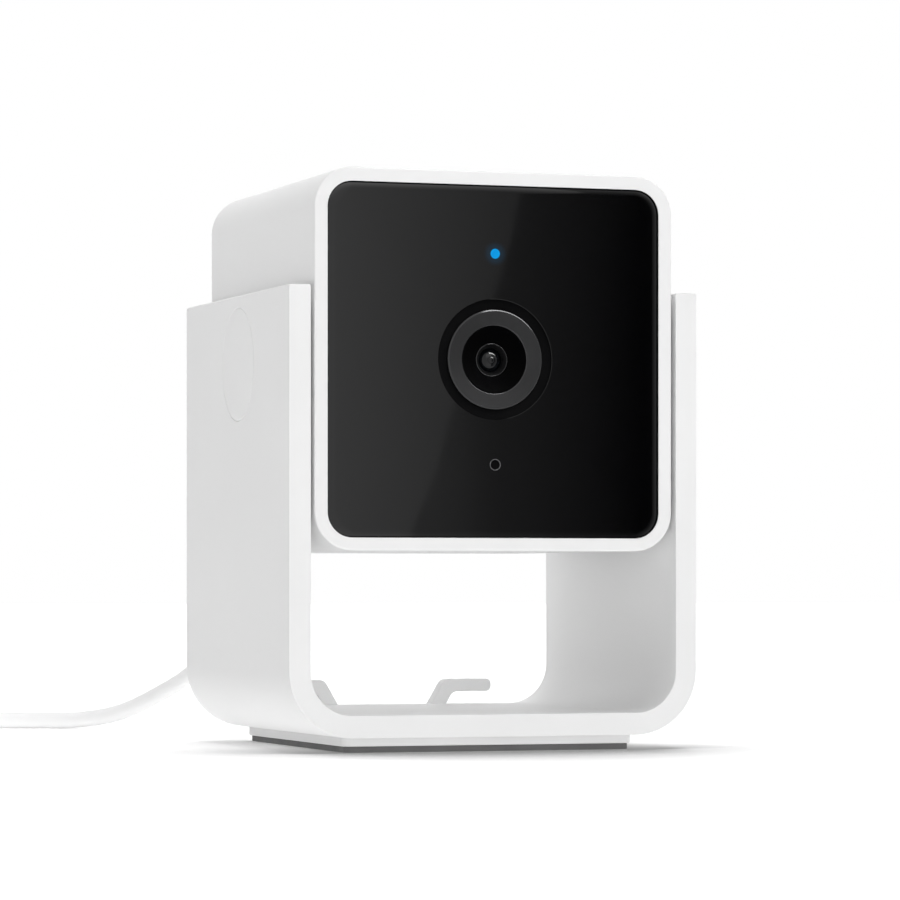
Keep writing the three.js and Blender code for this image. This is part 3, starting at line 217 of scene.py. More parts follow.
def edges_at(shape, axis, station):
    """The edges that lie in one plane across an axis."""
    return [e for e in shape.edges
            if all(abs(v.co.dot(AXIS[axis]) - station * MM) < NEAR for v in e.verts)]


def face_at(shape, axis, station):
    """The largest face in one plane across an axis."""
    found = [f for f in shape.faces
             if all(abs(v.co.dot(AXIS[axis]) - station * MM) < NEAR for v in f.verts)]
    return max(found, key=lambda f: f.calc_area())


def round_edges(shape, edges, radius, segments):
    """Rolls edges over to a radius."""
    return bmesh.ops.bevel(shape, geom=edges, offset=radius * MM, offset_type="OFFSET",
                           affect="EDGES", segments=segments, profile=0.5, material=-1)


def ring(shape, centre, axis, radius, steps=64):
    """A circle of edges across an axis."""
    made = bmesh.ops.create_circle(
        shape, cap_ends=False, radius=radius * MM, segments=steps,
        matrix=Matrix.Translation(Vector(centre) * MM) @ FACING[axis])
    return list({e for v in made["verts"] for e in v.link_edges})


def slot_ring(shape, centre, axis, width, height, radius):
    """A rectangle of edges with round corners, across an axis."""
    before = set(shape.faces)
    made = bmesh.ops.create_grid(
        shape, x_segments=1, y_segments=1, size=0.5,
        matrix=Matrix.Translation(Vector(centre) * MM) @ FACING[axis]
        @ Matrix.Diagonal((width * MM, height * MM, 1, 1)))
    bmesh.ops.bevel(shape, geom=made["verts"], offset=radius * MM, offset_type="OFFSET",
                    affect="VERTICES", segments=6, profile=0.5, material=-1)
    faces = [f for f in shape.faces if f not in before]
    edges = list({e for f in faces for e in f.edges})
    bmesh.ops.delete(shape, geom=faces, context="FACES_ONLY")
    return edges


def push(shape, edges, axis, distance, grow=1.0):
    """Carries a ring of edges on along an axis, wider or narrower, and gives the new ring."""
    verts = list({v for e in edges for v in e.verts})
    centre = sum((v.co for v in verts), Vector()) / len(verts)
    made = bmesh.ops.extrude_edge_only(shape, edges=edges)["geom"]
    fresh = [g for g in made if isinstance(g, bmesh.types.BMVert)]
    bmesh.ops.scale(shape, verts=fresh, vec=(grow, grow, grow),
                    space=Matrix.Translation(-centre))
    bmesh.ops.translate(shape, verts=fresh, vec=AXIS[axis] * distance * MM)
    kept = set(fresh)
    return [g for g in made if isinstance(g, bmesh.types.BMEdge)
            and all(v in kept for v in g.verts)]


def bore(shape, rim, axis, chamfer, taper, deep):
    """Sinks a ring by deep, at first narrower down a chamfer, and gives its far end."""
    return push(shape, push(shape, rim, axis, chamfer, taper), axis, deep - chamfer)


def fill_between(shape, loops):
    """Fills a flat area that loops of edges bound, outside and inside."""
    bmesh.ops.triangle_fill(shape, use_beauty=True, use_dissolve=False,
                            edges=[e for loop in loops for e in loop])


def open_face(shape, face, rings):
    """Fills what is left of a face round rings that lie in it."""
    outline = list(face.edges)
    bmesh.ops.delete(shape, geom=[face], context="FACES_ONLY")
    fill_between(shape, [outline, *rings])


def pull_back(shape, face, deep):
    """Extrudes a face along +Y and gives its far end."""
    made = bmesh.ops.extrude_face_region(shape, geom=[face])["geom"]
    bmesh.ops.translate(shape, vec=(0, deep * MM, 0),
                        verts=[g for g in made if isinstance(g, bmesh.types.BMVert)])
    return next(g for g in made if isinstance(g, bmesh.types.BMFace))


def hollow_band(centre, axis, outer, inner, deep):
    """A closed band between two rectangles, each a width, a height and a corner radius."""
    shape = bmesh.new()
    near = [slot_ring(shape, centre, axis, *size) for size in (outer, inner)]
    far = [push(shape, loop, axis, deep) for loop in near]
    fill_between(shape, near)
    fill_between(shape, far)
    return shape


def turned(profile, axis="Y", centre=(0, 0, 0), steps=96, ease=0.0):
    """Spins an outline of radius and station, and rolls its sharp rings over by ease."""
    shape = bmesh.new()
    origin = Vector(centre) * MM
    verts = [shape.verts.new(origin + (SIDE[axis] * r + AXIS[axis] * s) * MM) for r, s in profile]
    pairs = list(zip(verts, verts[1:]))
    if profile[0][0] > 0:
        pairs.append((verts[-1], verts[0]))
    edges = [shape.edges.new(pair) for pair in pairs]
    bmesh.ops.spin(shape, geom=verts + edges, cent=origin, axis=AXIS[axis],
                   angle=2 * math.pi, steps=steps, use_merge=True)
    bmesh.ops.remove_doubles(shape, verts=shape.verts, dist=NEAR)
    if ease:
        corners = [e for e in shape.edges if e.is_manifold and e.calc_face_angle(0) > 0.5]
        round_edges(shape, corners, ease, 2)
    return shape


def joined(shapes):
    """Several shapes as one."""
    whole = bmesh.new()
    for shape in shapes:
        mesh = bpy.data.meshes.new("part_shape")
        shape.to_mesh(mesh)
        shape.free()
        whole.from_mesh(mesh)
        bpy.data.meshes.remove(mesh)
    return whole


def piece(name, shape, finish, body, replaced=(), sharp=32.0, flats=True):
    """Makes the shape an object with its finish, on its body."""
    bmesh.ops.remove_doubles(shape, verts=shape.verts, dist=NEAR)
    bmesh.ops.recalc_face_normals(shape, faces=shape.faces)
    mesh = bpy.data.meshes.new(name)
    shape.to_mesh(mesh)
    shape.free()
    mesh.shade_smooth()
    mesh.set_sharp_from_angle(angle=math.radians(sharp))
    mesh.materials.append(finish)
    made = bpy.data.objects.new(name, mesh)
    SCENE.collection.objects.link(made)
    if flats:
        evened = made.modifiers.new("even_shading", "WEIGHTED_NORMAL")
        evened.keep_sharp = True
        evened.weight = 100
    if body:
        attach(made, body)
    if replaced:
        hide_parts(*replaced)
    print(f"{name}: {len(mesh.polygons)} faces")
    return made


print("helpers for shapes are ready")

# %% [markdown]
# ## The lead
#
# The lead is a round PVC cord, 2.6 mm thick and about 1.8 m long. It leaves its plug straight,
# drops to the table and runs away to the left. The length that the photograph doesn't show is
# wound in a flat coil with a tie, just outside the view. A list of points is easier to lay over
# the table and round the coil than a curve's handles, so the route is worked out point by point.

# %% The route of the lead, point by point
CORD_THICK = 2.6
LENS_Z = sum(corner[2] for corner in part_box("lens_trim_ring")) / 2 / MM
SOCKET_Z = sum(corner[2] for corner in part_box("micro_plug_shell")) / 2 / MM
PLUG_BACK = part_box("micro_plug_body")[1][1] / MM
LEAD = [
    (0, PLUG_BACK, SOCKET_Z), (0, 56.5, 35.85), (-0.8, 60.1, 34.6), (-3.0, 63.7, 30.85),
    (-6.2, 66.5, 25.4), (-9.6, 68.7, 19.35), (-13.0, 70.7, 13.8), (-16.8, 72.8, 9.15),
    (-21.4, 76.0, 5.7), (-26.8, 79.8, 2.7), (-32.6, 83.4, 1.45), (-38.6, 86.0, 1.36),
    (-44.8, 88.2, 1.36), (-51.0, 90.27, 1.4), (-57.0, 92.27, 1.8),
]
STEPS_BETWEEN = 3  # points of the route from one point of a list to the next
COIL_TURNS, COIL_LAYERS, COIL_STEPS = 17.08, 4, 24
COIL_PITCH, COIL_LIFT, COIL_MIDDLE = 3.1, 2.15, 15.15
COIL_ENTRY = Vector((-67.0, 95.6, COIL_LIFT))
COIL_ANGLE = math.radians(161.53) - math.pi / 2
COIL_OUTER = COIL_MIDDLE + COIL_PITCH * COIL_TURNS / (2 * COIL_LAYERS)
COIL_CENTRE = COIL_ENTRY - COIL_OUTER * Vector((math.cos(COIL_ANGLE), math.sin(COIL_ANGLE), 0))
USB_X, USB_ENTRY_Y, USB_Z = -105.8, 70.5, 3.85
TAIL = [
    (-89.4, 93.8, 9.4), (-95.2, 90.6, 7.2), (-100.4, 85.8, 5.2),
    (USB_X + 1.3, USB_ENTRY_Y + 4 * CORD_THICK, 3.91),
    (USB_X, USB_ENTRY_Y + 2 * CORD_THICK, USB_Z), (USB_X, USB_ENTRY_Y + CORD_THICK, USB_Z),
    (USB_X, USB_ENTRY_Y, USB_Z),
]
LAYER_STEP = 0.25  # turns over which the cord climbs, before and after a reversal


def ease_step(value, low, high):
    """Rises smoothly from 0 to 1 between low and high."""
    share = min(max((value - low) / (high - low), 0), 1)
    return share * share * (3 - 2 * share)


def coil_point(turn):
    """A point of the coil, which winds in and out, one layer higher after each reversal."""
    span = COIL_TURNS / COIL_LAYERS
    layer = min(int(turn / span), COIL_LAYERS - 1)
    share = turn / span - layer
    inward = share if layer % 2 == 0 else 1 - share
    radius = COIL_OUTER - COIL_PITCH * span * inward
    climb = sum(ease_step(turn - k * span, -LAYER_STEP, LAYER_STEP)
                for k in range(1, COIL_LAYERS))
    angle = COIL_ANGLE + 2 * math.pi * turn
    return COIL_CENTRE + Vector((radius * math.cos(angle), radius * math.sin(angle),
                                 COIL_PITCH * climb))


def rounded_route(points):
    """A smooth curve through a list of points."""
    points = [Vector(p) for p in points]
    padded = [2 * points[0] - points[1], *points, 2 * points[-1] - points[-2]]
    route = []
    for a, b, c, d in zip(padded, padded[1:], padded[2:], padded[3:]):
        for i in range(STEPS_BETWEEN):
            t = i / STEPS_BETWEEN
            route.append(((2 * b) + (c - a) * t + (2 * a - 5 * b + 4 * c - d) * t * t
                          + (3 * b - a - 3 * c + d) * t ** 3) / 2)
    return [*route, points[-1]]


coil_count = round(COIL_TURNS * COIL_STEPS)
coil_route = [coil_point(COIL_TURNS * i / coil_count) for i in range(coil_count + 1)]
coil_route[0].z = COIL_LIFT
entry_way = (coil_route[0] - coil_route[1]).normalized() * CORD_THICK
exit_way = (coil_route[-1] - coil_route[-2]).normalized() * CORD_THICK
lead_route = rounded_route([*LEAD, coil_route[0] + entry_way * 2, coil_route[0] + entry_way])
tail_route = rounded_route([coil_route[-1] + exit_way, coil_route[-1] + exit_way * 2, *TAIL])
cord_route = [p * MM for p in [*lead_route, *coil_route, *tail_route]]

# %% [markdown]
# The sheath is soft white PVC. It is satin, with faint long waves from the extruder and a slightly
# pebbled skin, which the eye sees as a broken highlight along the cord.

# %% The finish of the sheath
pvc_sheath = plain_finish("white_pvc_sheath", "#FCFCFC", "#F8F8F8", 14, (0.42, 0.52), 0.5, 0.012,
                          ior=1.53)

# %% [markdown]
# A curve with a round bevel makes the tube in one step. It becomes a mesh at once.

# %% Make the cord
cord_line = bpy.data.curves.new("cord_line", "CURVE")
cord_line.dimensions = "3D"
cord_line.bevel_depth = CORD_THICK * MM / 2
cord_line.bevel_resolution = 4
cord_line.use_fill_caps = True
cord_spline = cord_line.splines.new("POLY")
cord_spline.points.add(len(cord_route) - 1)
for point, spot in zip(cord_spline.points, cord_route):
    point.co = (*spot, 1)
cord_guide = bpy.data.objects.new("cord_guide", cord_line)
SCENE.collection.objects.link(cord_guide)
bpy.context.view_layer.update()
cord_mesh = bpy.data.meshes.new_from_object(cord_guide)
bpy.data.objects.remove(cord_guide)
cord_shape = bmesh.new()
cord_shape.from_mesh(cord_mesh)
bpy.data.meshes.remove(cord_mesh)
cord = piece("power_cord", cord_shape, pvc_sheath, None,
             ["cord_lead", "cord_coil", "cord_tail"], sharp=60, flats=False)
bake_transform(cord)

# %% [markdown]
# ## White mouldings
#
# The stand and the camera shell are injection-moulded ABS from a finely blasted tool. The eye gets
# an even, bright white with a soft sheen. The blasting is far too fine to see, so it is drawn at
# about a fifth of a millimetre, and very shallow.

# %% The finish of the white mouldings
abs_white = plain_finish("moulded_white_abs", "#FBFBFB", "#F8F8F8", 30, (0.40, 0.46), 0.22, 0.004,
                         ior=1.54, shine=0.25)

# %% [markdown]
# ## The stand
#
# The stand is one U of even wall. It is drawn as a flat U of eight corners, pulled through the
# stand's depth, and its corners are then rolled over one set after another. Each arm has a round
# recess on its outer face for the cap that hides the hinge.

# %% Model the stand
STAND_W, STAND_D, ARM = 60.5, 53.5, 3.2
ARM_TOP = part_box("stand_yoke")[1][2] / MM
FLOOR_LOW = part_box("stand_yoke")[0][2] / MM
FLOOR_THICK, INNER_CORNER, TIP_ROUND, SIDE_ROUND = 3.15, 6.0, 0.3, 0.18
FLOOR_TOP = FLOOR_LOW + FLOOR_THICK
PIVOT = (0, -1.2, LENS_Z)
CAP_RADIUS, CAP_DEEP, CAP_CHAMFER, CAP_SEAM = 8.08, 1.0, 0.1, 0.02


def u_outline(half, inner):
    """The eight corners of the U, seen from the front."""
    return [(half, FLOOR_LOW), (half, ARM_TOP), (inner, ARM_TOP), (inner, FLOOR_TOP),
            (-inner, FLOOR_TOP), (-inner, ARM_TOP), (-half, ARM_TOP), (-half, FLOOR_LOW)]


stand = bmesh.new()
corners = [stand.verts.new(Vector((x, -STAND_D / 2, z)) * MM)
           for x, z in u_outline(STAND_W / 2, STAND_W / 2 - ARM)]
pull_back(stand, stand.faces.new(corners), STAND_D)


def corner_edges(shape, x, z):
    """The long edges that pass through a point of the outline, on both sides."""
    return [e for e in edges_along(shape, "Y")
            if abs(abs(e.verts[0].co.x) - x * MM) < NEAR and abs(e.verts[0].co.z - z * MM) < NEAR]


round_edges(stand, corner_edges(stand, STAND_W / 2, FLOOR_LOW), INNER_CORNER + ARM, 20)
round_edges(stand, corner_edges(stand, STAND_W / 2 - ARM, FLOOR_TOP), INNER_CORNER, 16)
tips = corner_edges(stand, STAND_W / 2, ARM_TOP) + corner_edges(stand, STAND_W / 2 - ARM, ARM_TOP)
round_edges(stand, tips, TIP_ROUND, 3)
for back in (STAND_D / 2, -STAND_D / 2):
    round_edges(stand, edges_at(stand, "Y", back), SIDE_ROUND, 2)
for side in (1, -1):
    centre = (side * STAND_W / 2, PIVOT[1], PIVOT[2])
    hole = CAP_RADIUS + CAP_SEAM
    rim = ring(stand, centre, "X", hole + CAP_CHAMFER, 96)
    open_face(stand, face_at(stand, "X", side * STAND_W / 2), [rim])
    bottom = bore(stand, rim, "X", -side * CAP_CHAMFER, hole / (hole + CAP_CHAMFER),
                  -side * CAP_DEEP)
    bmesh.ops.edgeloop_fill(stand, edges=bottom)
piece("stand_shell", stand, abs_white, "stand", ["stand_yoke"])

# %% [markdown]
# Two L-shaped fingers stand on the floor of the stand at the back. Slack of the lead can be hooked
# on them. They are flat shapes pulled to their depth, with every edge softened.

# %% Model the cable hooks
HOOK_BACK, HOOK_DEEP = STAND_D / 2 - 0.6, 2.5
HOOK_SLOPE = math.tan(math.radians(60))
HOOK_IN, HOOK_OUT, HOOK_TIP = 7.35, 9.85, 17.05
HOOK_HIGH, HOOK_THICK, HOOK_ROOT = 3.8, 1.9, 1.0
HOOK_ROUND, HOOK_EASE = 0.7, 0.25


def hook_shape(side):
    """One finger that leans outwards and then lies level."""
    top, foot = FLOOR_TOP + HOOK_HIGH, FLOOR_TOP - HOOK_ROOT
    under, front = top - HOOK_THICK, HOOK_BACK - HOOK_DEEP
    stem = [(HOOK_IN, top), (HOOK_IN, foot), (HOOK_OUT, foot), (HOOK_OUT, under)]
    outline = [(x + (z - FLOOR_TOP) / HOOK_SLOPE, z) for x, z in stem]
    outline += [(HOOK_TIP, under), (HOOK_TIP, top)]
    hook = bmesh.new()
    verts = [hook.verts.new(Vector((side * x, front, z)) * MM) for x, z in outline]
    pull_back(hook, hook.faces.new(verts), HOOK_DEEP)
    above = [e for e in edges_along(hook, "Y") if e.verts[0].co.z > FLOOR_TOP * MM]
    round_edges(hook, above, HOOK_ROUND, 5)
    rims = edges_at(hook, "Y", HOOK_BACK) + edges_at(hook, "Y", front)
    round_edges(hook, rims, HOOK_EASE, 2)
    return hook


piece("cable_hooks", joined([hook_shape(1), hook_shape(-1)]), abs_white, "stand")

# %% [markdown]
# The caps over the hinges are discs, flush with the arms. Only the hairline round them shows.

# %% Model the hinge caps
for word, side in (("right", 1), ("left", -1)):
    face, seat = side * STAND_W / 2, side * (STAND_W / 2 - CAP_DEEP)
    cap = turned([(0, seat), (CAP_RADIUS, seat), (CAP_RADIUS, face - side * CAP_CHAMFER),
                  (CAP_RADIUS - CAP_CHAMFER, face), (0, face)], "X", PIVOT)
    piece(f"hinge_cover_{word}", cap, abs_white, "stand",
          [f"pivot_cap_{word}"])

# %% [markdown]
# ## The weight plate and its pad
#
# A light grey painted steel plate under the floor keeps the camera from tipping. Under it lies a
# thin pad of dark rubber. The paint has a slight orange peel, and the rubber a moulded stipple.

# %% Model the plate and the pad
painted_plate = plain_finish("satin_grey_paint_on_steel", "#ECECEC", "#E6E6E6", 12, (0.36, 0.44),
                             0.7, 0.006, ior=1.5)
moulded_rubber = plain_finish("moulded_grey_rubber", "#656565", "#5D5D5D", 6, (0.7, 0.85),
                              0.35, 0.03, ior=1.52)
plate_low, plate_high = [Vector(c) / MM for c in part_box("base_plate")]
plate = block(plate_low, plate_high)
round_edges(plate, edges_along(plate, "Z"), 1.6, 6)
round_edges(plate, edges_at(plate, "Z", plate_low.z), 0.3, 3)
piece("weight_plate", plate, painted_plate, "stand", ["base_plate"])
pad_low, pad_high = [Vector(c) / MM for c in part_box("foot_pad")]
pad = block(pad_low, pad_high)
round_edges(pad, edges_along(pad, "Z"), 1.15, 6)
round_edges(pad, edges_at(pad, "Z", 0) + edges_at(pad, "Z", pad_high.z), 0.12, 2)
piece("rubber_pad", pad, moulded_rubber, "stand", ["foot_pad"])

# %% [markdown]
# ## The camera shell
#
# The shell is a cup with its mouth forwards. Its back edges are rolled over and its front rim is
# eased only lightly. It is a block with bevelled edges: the front face is inset to make the
# rim, pushed in for the seat of the panel, inset again and pushed to the back for the chamber. The
# back wall is opened for the grille, the socket and the button.

# %% Model the camera shell
SHELL_LOW, SHELL_HIGH = [Vector(c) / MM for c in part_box("camera_housing")]
FRONT_EASE, LIP, BACK_ROUND, CORNER = 0.25, 0.06, 0.8, 5.5
RIM_LEFT, RIM_RIGHT, RIM_TOP, RIM_BOTTOM = 1.92, 1.96, 1.94, 1.81
SEAT_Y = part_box("front_chassis")[0][1] / MM + 2.0
SEAT_LEDGE, BACK_WALL = 0.7, 2.2
CHAMBER_Y = SHELL_HIGH.y - BACK_WALL
GRILLE_Z, GRILLE_R, GRILLE_THICK = LENS_Z + 4.0, 10.6, 1.0
GRILLE_GAP, GRILLE_LEDGE, GRILLE_CHAMFER = 0.1, 1.3, 0.05
PORT_W, PORT_H, PORT_CORNER, PORT_CHAMFER, PORT_TAPER = 9.3, 4.7, 1.7, 0.15, 0.968
BUTTON_X, KEY_HOLE, KEY_CHAMFER = 10.5, 2.75, 0.12
shell = block(SHELL_LOW, SHELL_HIGH)
round_edges(shell, edges_along(shell, "Y"), CORNER, 18)
round_edges(shell, edges_at(shell, "Y", SHELL_HIGH.y), BACK_ROUND, 5)
round_edges(shell, edges_at(shell, "Y", SHELL_LOW.y), FRONT_EASE, 3)


def step_in(shape, face, inset, deep):
    """Insets a face and pushes it along +Y."""
    if inset:
        bmesh.ops.inset_region(shape, faces=[face], thickness=inset * MM, depth=0,
                               use_even_offset=True)
    if not deep:
        return face
    far = pull_back(shape, face, deep)
    bmesh.ops.delete(shape, geom=[face], context="FACES_ONLY")
    return far


def stretch_to(verts, axis, low, high):
    """Fits points between two stations along an axis, corners and all."""
    index = "XYZ".index(axis)
    old_low = min(v.co[index] for v in verts)
    old_high = max(v.co[index] for v in verts)
    for v in verts:
        share = (v.co[index] - old_low) / (old_high - old_low)
        v.co[index] = (low + (high - low) * share) * MM


mouth = face_at(shell, "Y", SHELL_LOW.y)
mouth = step_in(shell, mouth, RIM_LEFT - FRONT_EASE - LIP, 0)
stretch_to(mouth.verts, "X", SHELL_LOW.x + RIM_LEFT - LIP, SHELL_HIGH.x - RIM_RIGHT + LIP)
stretch_to(mouth.verts, "Z", SHELL_LOW.z + RIM_BOTTOM - LIP, SHELL_HIGH.z - RIM_TOP + LIP)
bmesh.ops.inset_region(shell, faces=[mouth], thickness=LIP * MM, depth=-LIP * MM,
                       use_even_offset=True)
mouth = step_in(shell, mouth, 0, SEAT_Y - SHELL_LOW.y - LIP)
mouth = step_in(shell, mouth, SEAT_LEDGE, CHAMBER_Y - SEAT_Y)

# Openings in the back: the grille's stepped seat, then the socket's slot and the button's hole
seat_r = GRILLE_R + GRILLE_GAP
grille_ring = ring(shell, (0, SHELL_HIGH.y, GRILLE_Z), "Y", seat_r + GRILLE_CHAMFER, 72)
grille_seat = bore(shell, grille_ring, "Y", -GRILLE_CHAMFER, seat_r / (seat_r + GRILLE_CHAMFER),
                   -GRILLE_THICK)
grille_hole = push(shell, grille_seat, "Y", 0, (GRILLE_R - GRILLE_LEDGE) / seat_r)
outside_rings = [grille_ring]
inside_rings = [push(shell, grille_hole, "Y", GRILLE_THICK - BACK_WALL)]
port_ring = slot_ring(shell, (0, SHELL_HIGH.y, SOCKET_Z), "Y", PORT_W, PORT_H, PORT_CORNER)
key_ring = ring(shell, (BUTTON_X, SHELL_HIGH.y, SOCKET_Z), "Y", KEY_HOLE + KEY_CHAMFER, 48)
for rim, chamfer, taper in ((port_ring, PORT_CHAMFER, PORT_TAPER),
                            (key_ring, KEY_CHAMFER, KEY_HOLE / (KEY_HOLE + KEY_CHAMFER))):
    outside_rings.append(rim)
    inside_rings.append(bore(shell, rim, "Y", -chamfer, taper, -BACK_WALL))
open_face(shell, face_at(shell, "Y", SHELL_HIGH.y), outside_rings)
open_face(shell, face_at(shell, "Y", CHAMBER_Y), inside_rings)
piece("camera_shell", shell, abs_white, "camera", ["camera_housing"])

# %% [markdown]
# ## The glossy front
#
# The panel is smoked acrylic, polished like a mirror, over black. Nearly all that the eye sees on
# it is reflection, so it is a very dark base under a smooth surface. The status light shines a
# little way into the smoked plastic and leaves a soft blue halo round its window.

# %% The finish of the panel
LIGHT_Z = LENS_Z + 14.8
MIC_Z = LENS_Z - 14.75
PANEL_LOW, PANEL_HIGH = [Vector(c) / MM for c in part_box("front_panel")]
SEAM = 0.1
PANEL_LOW.x, PANEL_HIGH.x = SHELL_LOW.x + RIM_LEFT + SEAM, SHELL_HIGH.x - RIM_RIGHT - SEAM
PANEL_LOW.z, PANEL_HIGH.z = SHELL_LOW.z + RIM_BOTTOM + SEAM, SHELL_HIGH.z - RIM_TOP - SEAM
HALO_FULL, HALO_GONE = 0.65, 2.0
smoked_acrylic, tree, shader, place = start_finish("polished_smoked_acrylic", "#040405", 0.02,
                                                   ior=1.49)
add_coat(tree, shader, patches(tree, place, 9), {"Roughness": 0.035})
add_coat(tree, shader, patches(tree, place, 20), {"Base Color": linear("#050506")})
halo = near_point(tree, place, (0, PANEL_LOW.y, LIGHT_Z), HALO_FULL, HALO_GONE)
shader.inputs["Emission Color"].default_value = linear("#000000")
shader.inputs["Emission Strength"].default_value = 1.0
add_coat(tree, shader, halo, {"Emission Color": linear("#001D2D")})

# %% [markdown]
# Its edge is rolled over as wide as a millimetre and hardly deep, so that the reflection bends
# away softly before it ends. The bevel gives the roll its rows of points, and a parabola their
# depth. A thin band of matt black fills the seam between the panel and the rim, and keeps the
# seam dark.

# %% Model the panel and its seal
EDGE_ROLL, EDGE_DEEP, PANEL_CORNER = 0.95, 0.19, 3.4
panel = block(PANEL_LOW, PANEL_HIGH)
round_edges(panel, edges_along(panel, "Y"), PANEL_CORNER, 16)
round_edges(panel, edges_at(panel, "Y", PANEL_LOW.y), EDGE_ROLL, 6)
for vert in panel.verts:
    deep = (vert.co.y / MM - PANEL_LOW.y) / EDGE_ROLL
    if deep < 1.01:  # only the rolled edge, not the back of the panel
        vert.co.y = (PANEL_LOW.y + EDGE_DEEP * (1 - (1 - deep) ** 2)) * MM
front_rings, back_rings = [], []
for z, radius, chamfer, steps in ((LENS_Z, 8.43, 0.04, 96), (LIGHT_Z, 0.7, 0.03, 32),
                                  (MIC_Z, 0.8, 0.02, 32)):
    rim = ring(panel, (0, PANEL_LOW.y, z), "Y", radius + chamfer, steps)
    front_rings.append(rim)
    back_rings.append(bore(panel, rim, "Y", chamfer, radius / (radius + chamfer),
                           PANEL_HIGH.y - PANEL_LOW.y))
open_face(panel, face_at(panel, "Y", PANEL_LOW.y), front_rings)
open_face(panel, face_at(panel, "Y", PANEL_HIGH.y), back_rings)
piece("glossy_front", panel, smoked_acrylic, "camera", ["front_panel"])
matt_black = plain_finish("fine_matt_black_abs", "#050506", "#070708", 5, (0.5, 0.62), 0.15, 0.006,
                          ior=1.54, shine=0.03)
middle = (PANEL_LOW + PANEL_HIGH) / 2
wide, tall = PANEL_HIGH.x - PANEL_LOW.x, PANEL_HIGH.z - PANEL_LOW.z
# A thin band of matt black fills the seam between the panel and the rim, so the seam shows dark.
SEAM_BAND_OUT, SEAM_BAND_IN, SEAM_BAND_DEEP = 1.8 * SEAM, 0.2 * SEAM, 0.8
seam_band = hollow_band((middle.x, PANEL_LOW.y + 0.02, middle.z), "Y",
                   (wide + SEAM_BAND_OUT, tall + SEAM_BAND_OUT, PANEL_CORNER + SEAM),
                   (wide + SEAM_BAND_IN, tall + SEAM_BAND_IN, PANEL_CORNER), SEAM_BAND_DEEP)
piece("dark_seam_band", seam_band, matt_black, "camera")
MIC_R = 0.7
gauze = turned([(0, PANEL_LOW.y + 0.12), (MIC_R, PANEL_LOW.y + 0.12), (MIC_R, PANEL_HIGH.y),
                (0, PANEL_HIGH.y)], "Y", (0, 0, MIC_Z), 32)
piece("microphone_gauze", gauze, matt_black, "camera")
# A thin satin grey ring lines the microphone's hole and shows as a grey outline round it.
grey_mic_ring_finish = plain_finish("satin_grey_mic_ring", "#7E7E80", "#767678", 2, (0.3, 0.36), 0.1, 0.003)
grey_mic_ring = turned([(MIC_R, PANEL_LOW.y + 0.1), (MIC_R + 0.04, PANEL_LOW.y + 0.02),
                 (MIC_R + 0.09, PANEL_LOW.y + 0.02), (MIC_R + 0.09, PANEL_HIGH.y),
                 (MIC_R, PANEL_HIGH.y)], "Y", (0, 0, MIC_Z), 32)
piece("microphone_grey_ring", grey_mic_ring, grey_mic_ring_finish, "camera")

# %% [markdown]
# The window of the status light is a clear rod that carries the blue light to the front.

# %% Model the status light
lit_rod, tree, shader, place = start_finish("lit_clear_acrylic", "#02060A", 0.1, ior=1.49,
                                            shine=0.1)
shader.inputs["Emission Color"].default_value = linear("#0AA0E8")
shader.inputs["Emission Strength"].default_value = 1.0
add_coat(tree, shader, patches(tree, place, 0.8), {"Emission Color": linear("#0892DC")})
PIPE_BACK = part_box("status_light_pipe")[1][1] / MM
PIPE_R, COLLAR_R, COLLAR_THICK = 0.68, 1.4, 0.6
collar_back = PANEL_HIGH.y + COLLAR_THICK
window = turned([(0, PANEL_LOW.y), (PIPE_R - 0.06, PANEL_LOW.y), (PIPE_R, PANEL_LOW.y + 0.05),
                 (PIPE_R, PANEL_HIGH.y), (COLLAR_R, PANEL_HIGH.y), (COLLAR_R, collar_back),
                 (PIPE_R, collar_back), (PIPE_R, PIPE_BACK), (0, PIPE_BACK)],
                "Y", (0, 0, LIGHT_Z), 32)
piece("status_window", window, lit_rod, "camera", ["status_light_pipe"])

# %% [markdown]
# ## The lens
#
# The lens sits in a sunk collar of matt black plastic. On the collar lies a dark grey ring, dished
# like a saucer, with bright cut edges. Inside it are a black funnel, and in its throat the nose of
# the lens with a small domed glass. They are all turned parts, so each is spun from its outline.

# %% Finishes of the lens
deep_black = plain_finish("flat_black_lens_paint", "#020203", "#040404", 5, (0.6, 0.72), 0.12,
                          0.006, ior=1.5, shine=0.01)


def turned_metal(name, light, dark, rough, shine, cut_colour, bands):
    """Black anodised metal that is cut bright in bands, each a radius and half its width in mm."""
    material, tree, shader, place = start_finish(name, light, rough, shine=shine)
    add_coat(tree, shader, patches(tree, place, 4), {"Base Color": linear(dark)})
    level = add_node(tree, "VectorMath", {"operation": "MULTIPLY"}, {0: place, 1: (1, 0, 1)})
    across = add_node(tree, "VectorMath", {"operation": "DISTANCE"}, {
        0: level.outputs["Vector"], 1: (0, 0, LENS_Z * MM)}).outputs["Value"]
    for radius, half in bands:
        band = add_node(tree, "Math", {"operation": "COMPARE"}, {
            0: across, 1: radius * MM, 2: half * MM})
        add_coat(tree, shader, band.outputs[0],
                 {"Base Color": linear(cut_colour), "Metallic": 0.6, "Roughness": 0.16})
    fine_grain(tree, shader, place, 0.12, 0.003)
    return material


satin_ring = turned_metal("black_anodised_ring", "#303031", "#2C2C2D", 0.4, 0.12, "#3F3F40",
                          [(6.95, 0.16), (4.8, 0.09)])
nose_metal = turned_metal("black_anodised_nose", "#0E0E0F", "#0A0A0B", 0.35, 0.28, "#464647",
                          [(2.29, 0.06)])
lens_coat, tree, shader, place = start_finish("coated_lens_glass", "#06080B", 0.02, ior=1.52,
                                              shine=0.3)
add_coat(tree, shader, patches(tree, place, 0.6), {"Roughness": 0.04})
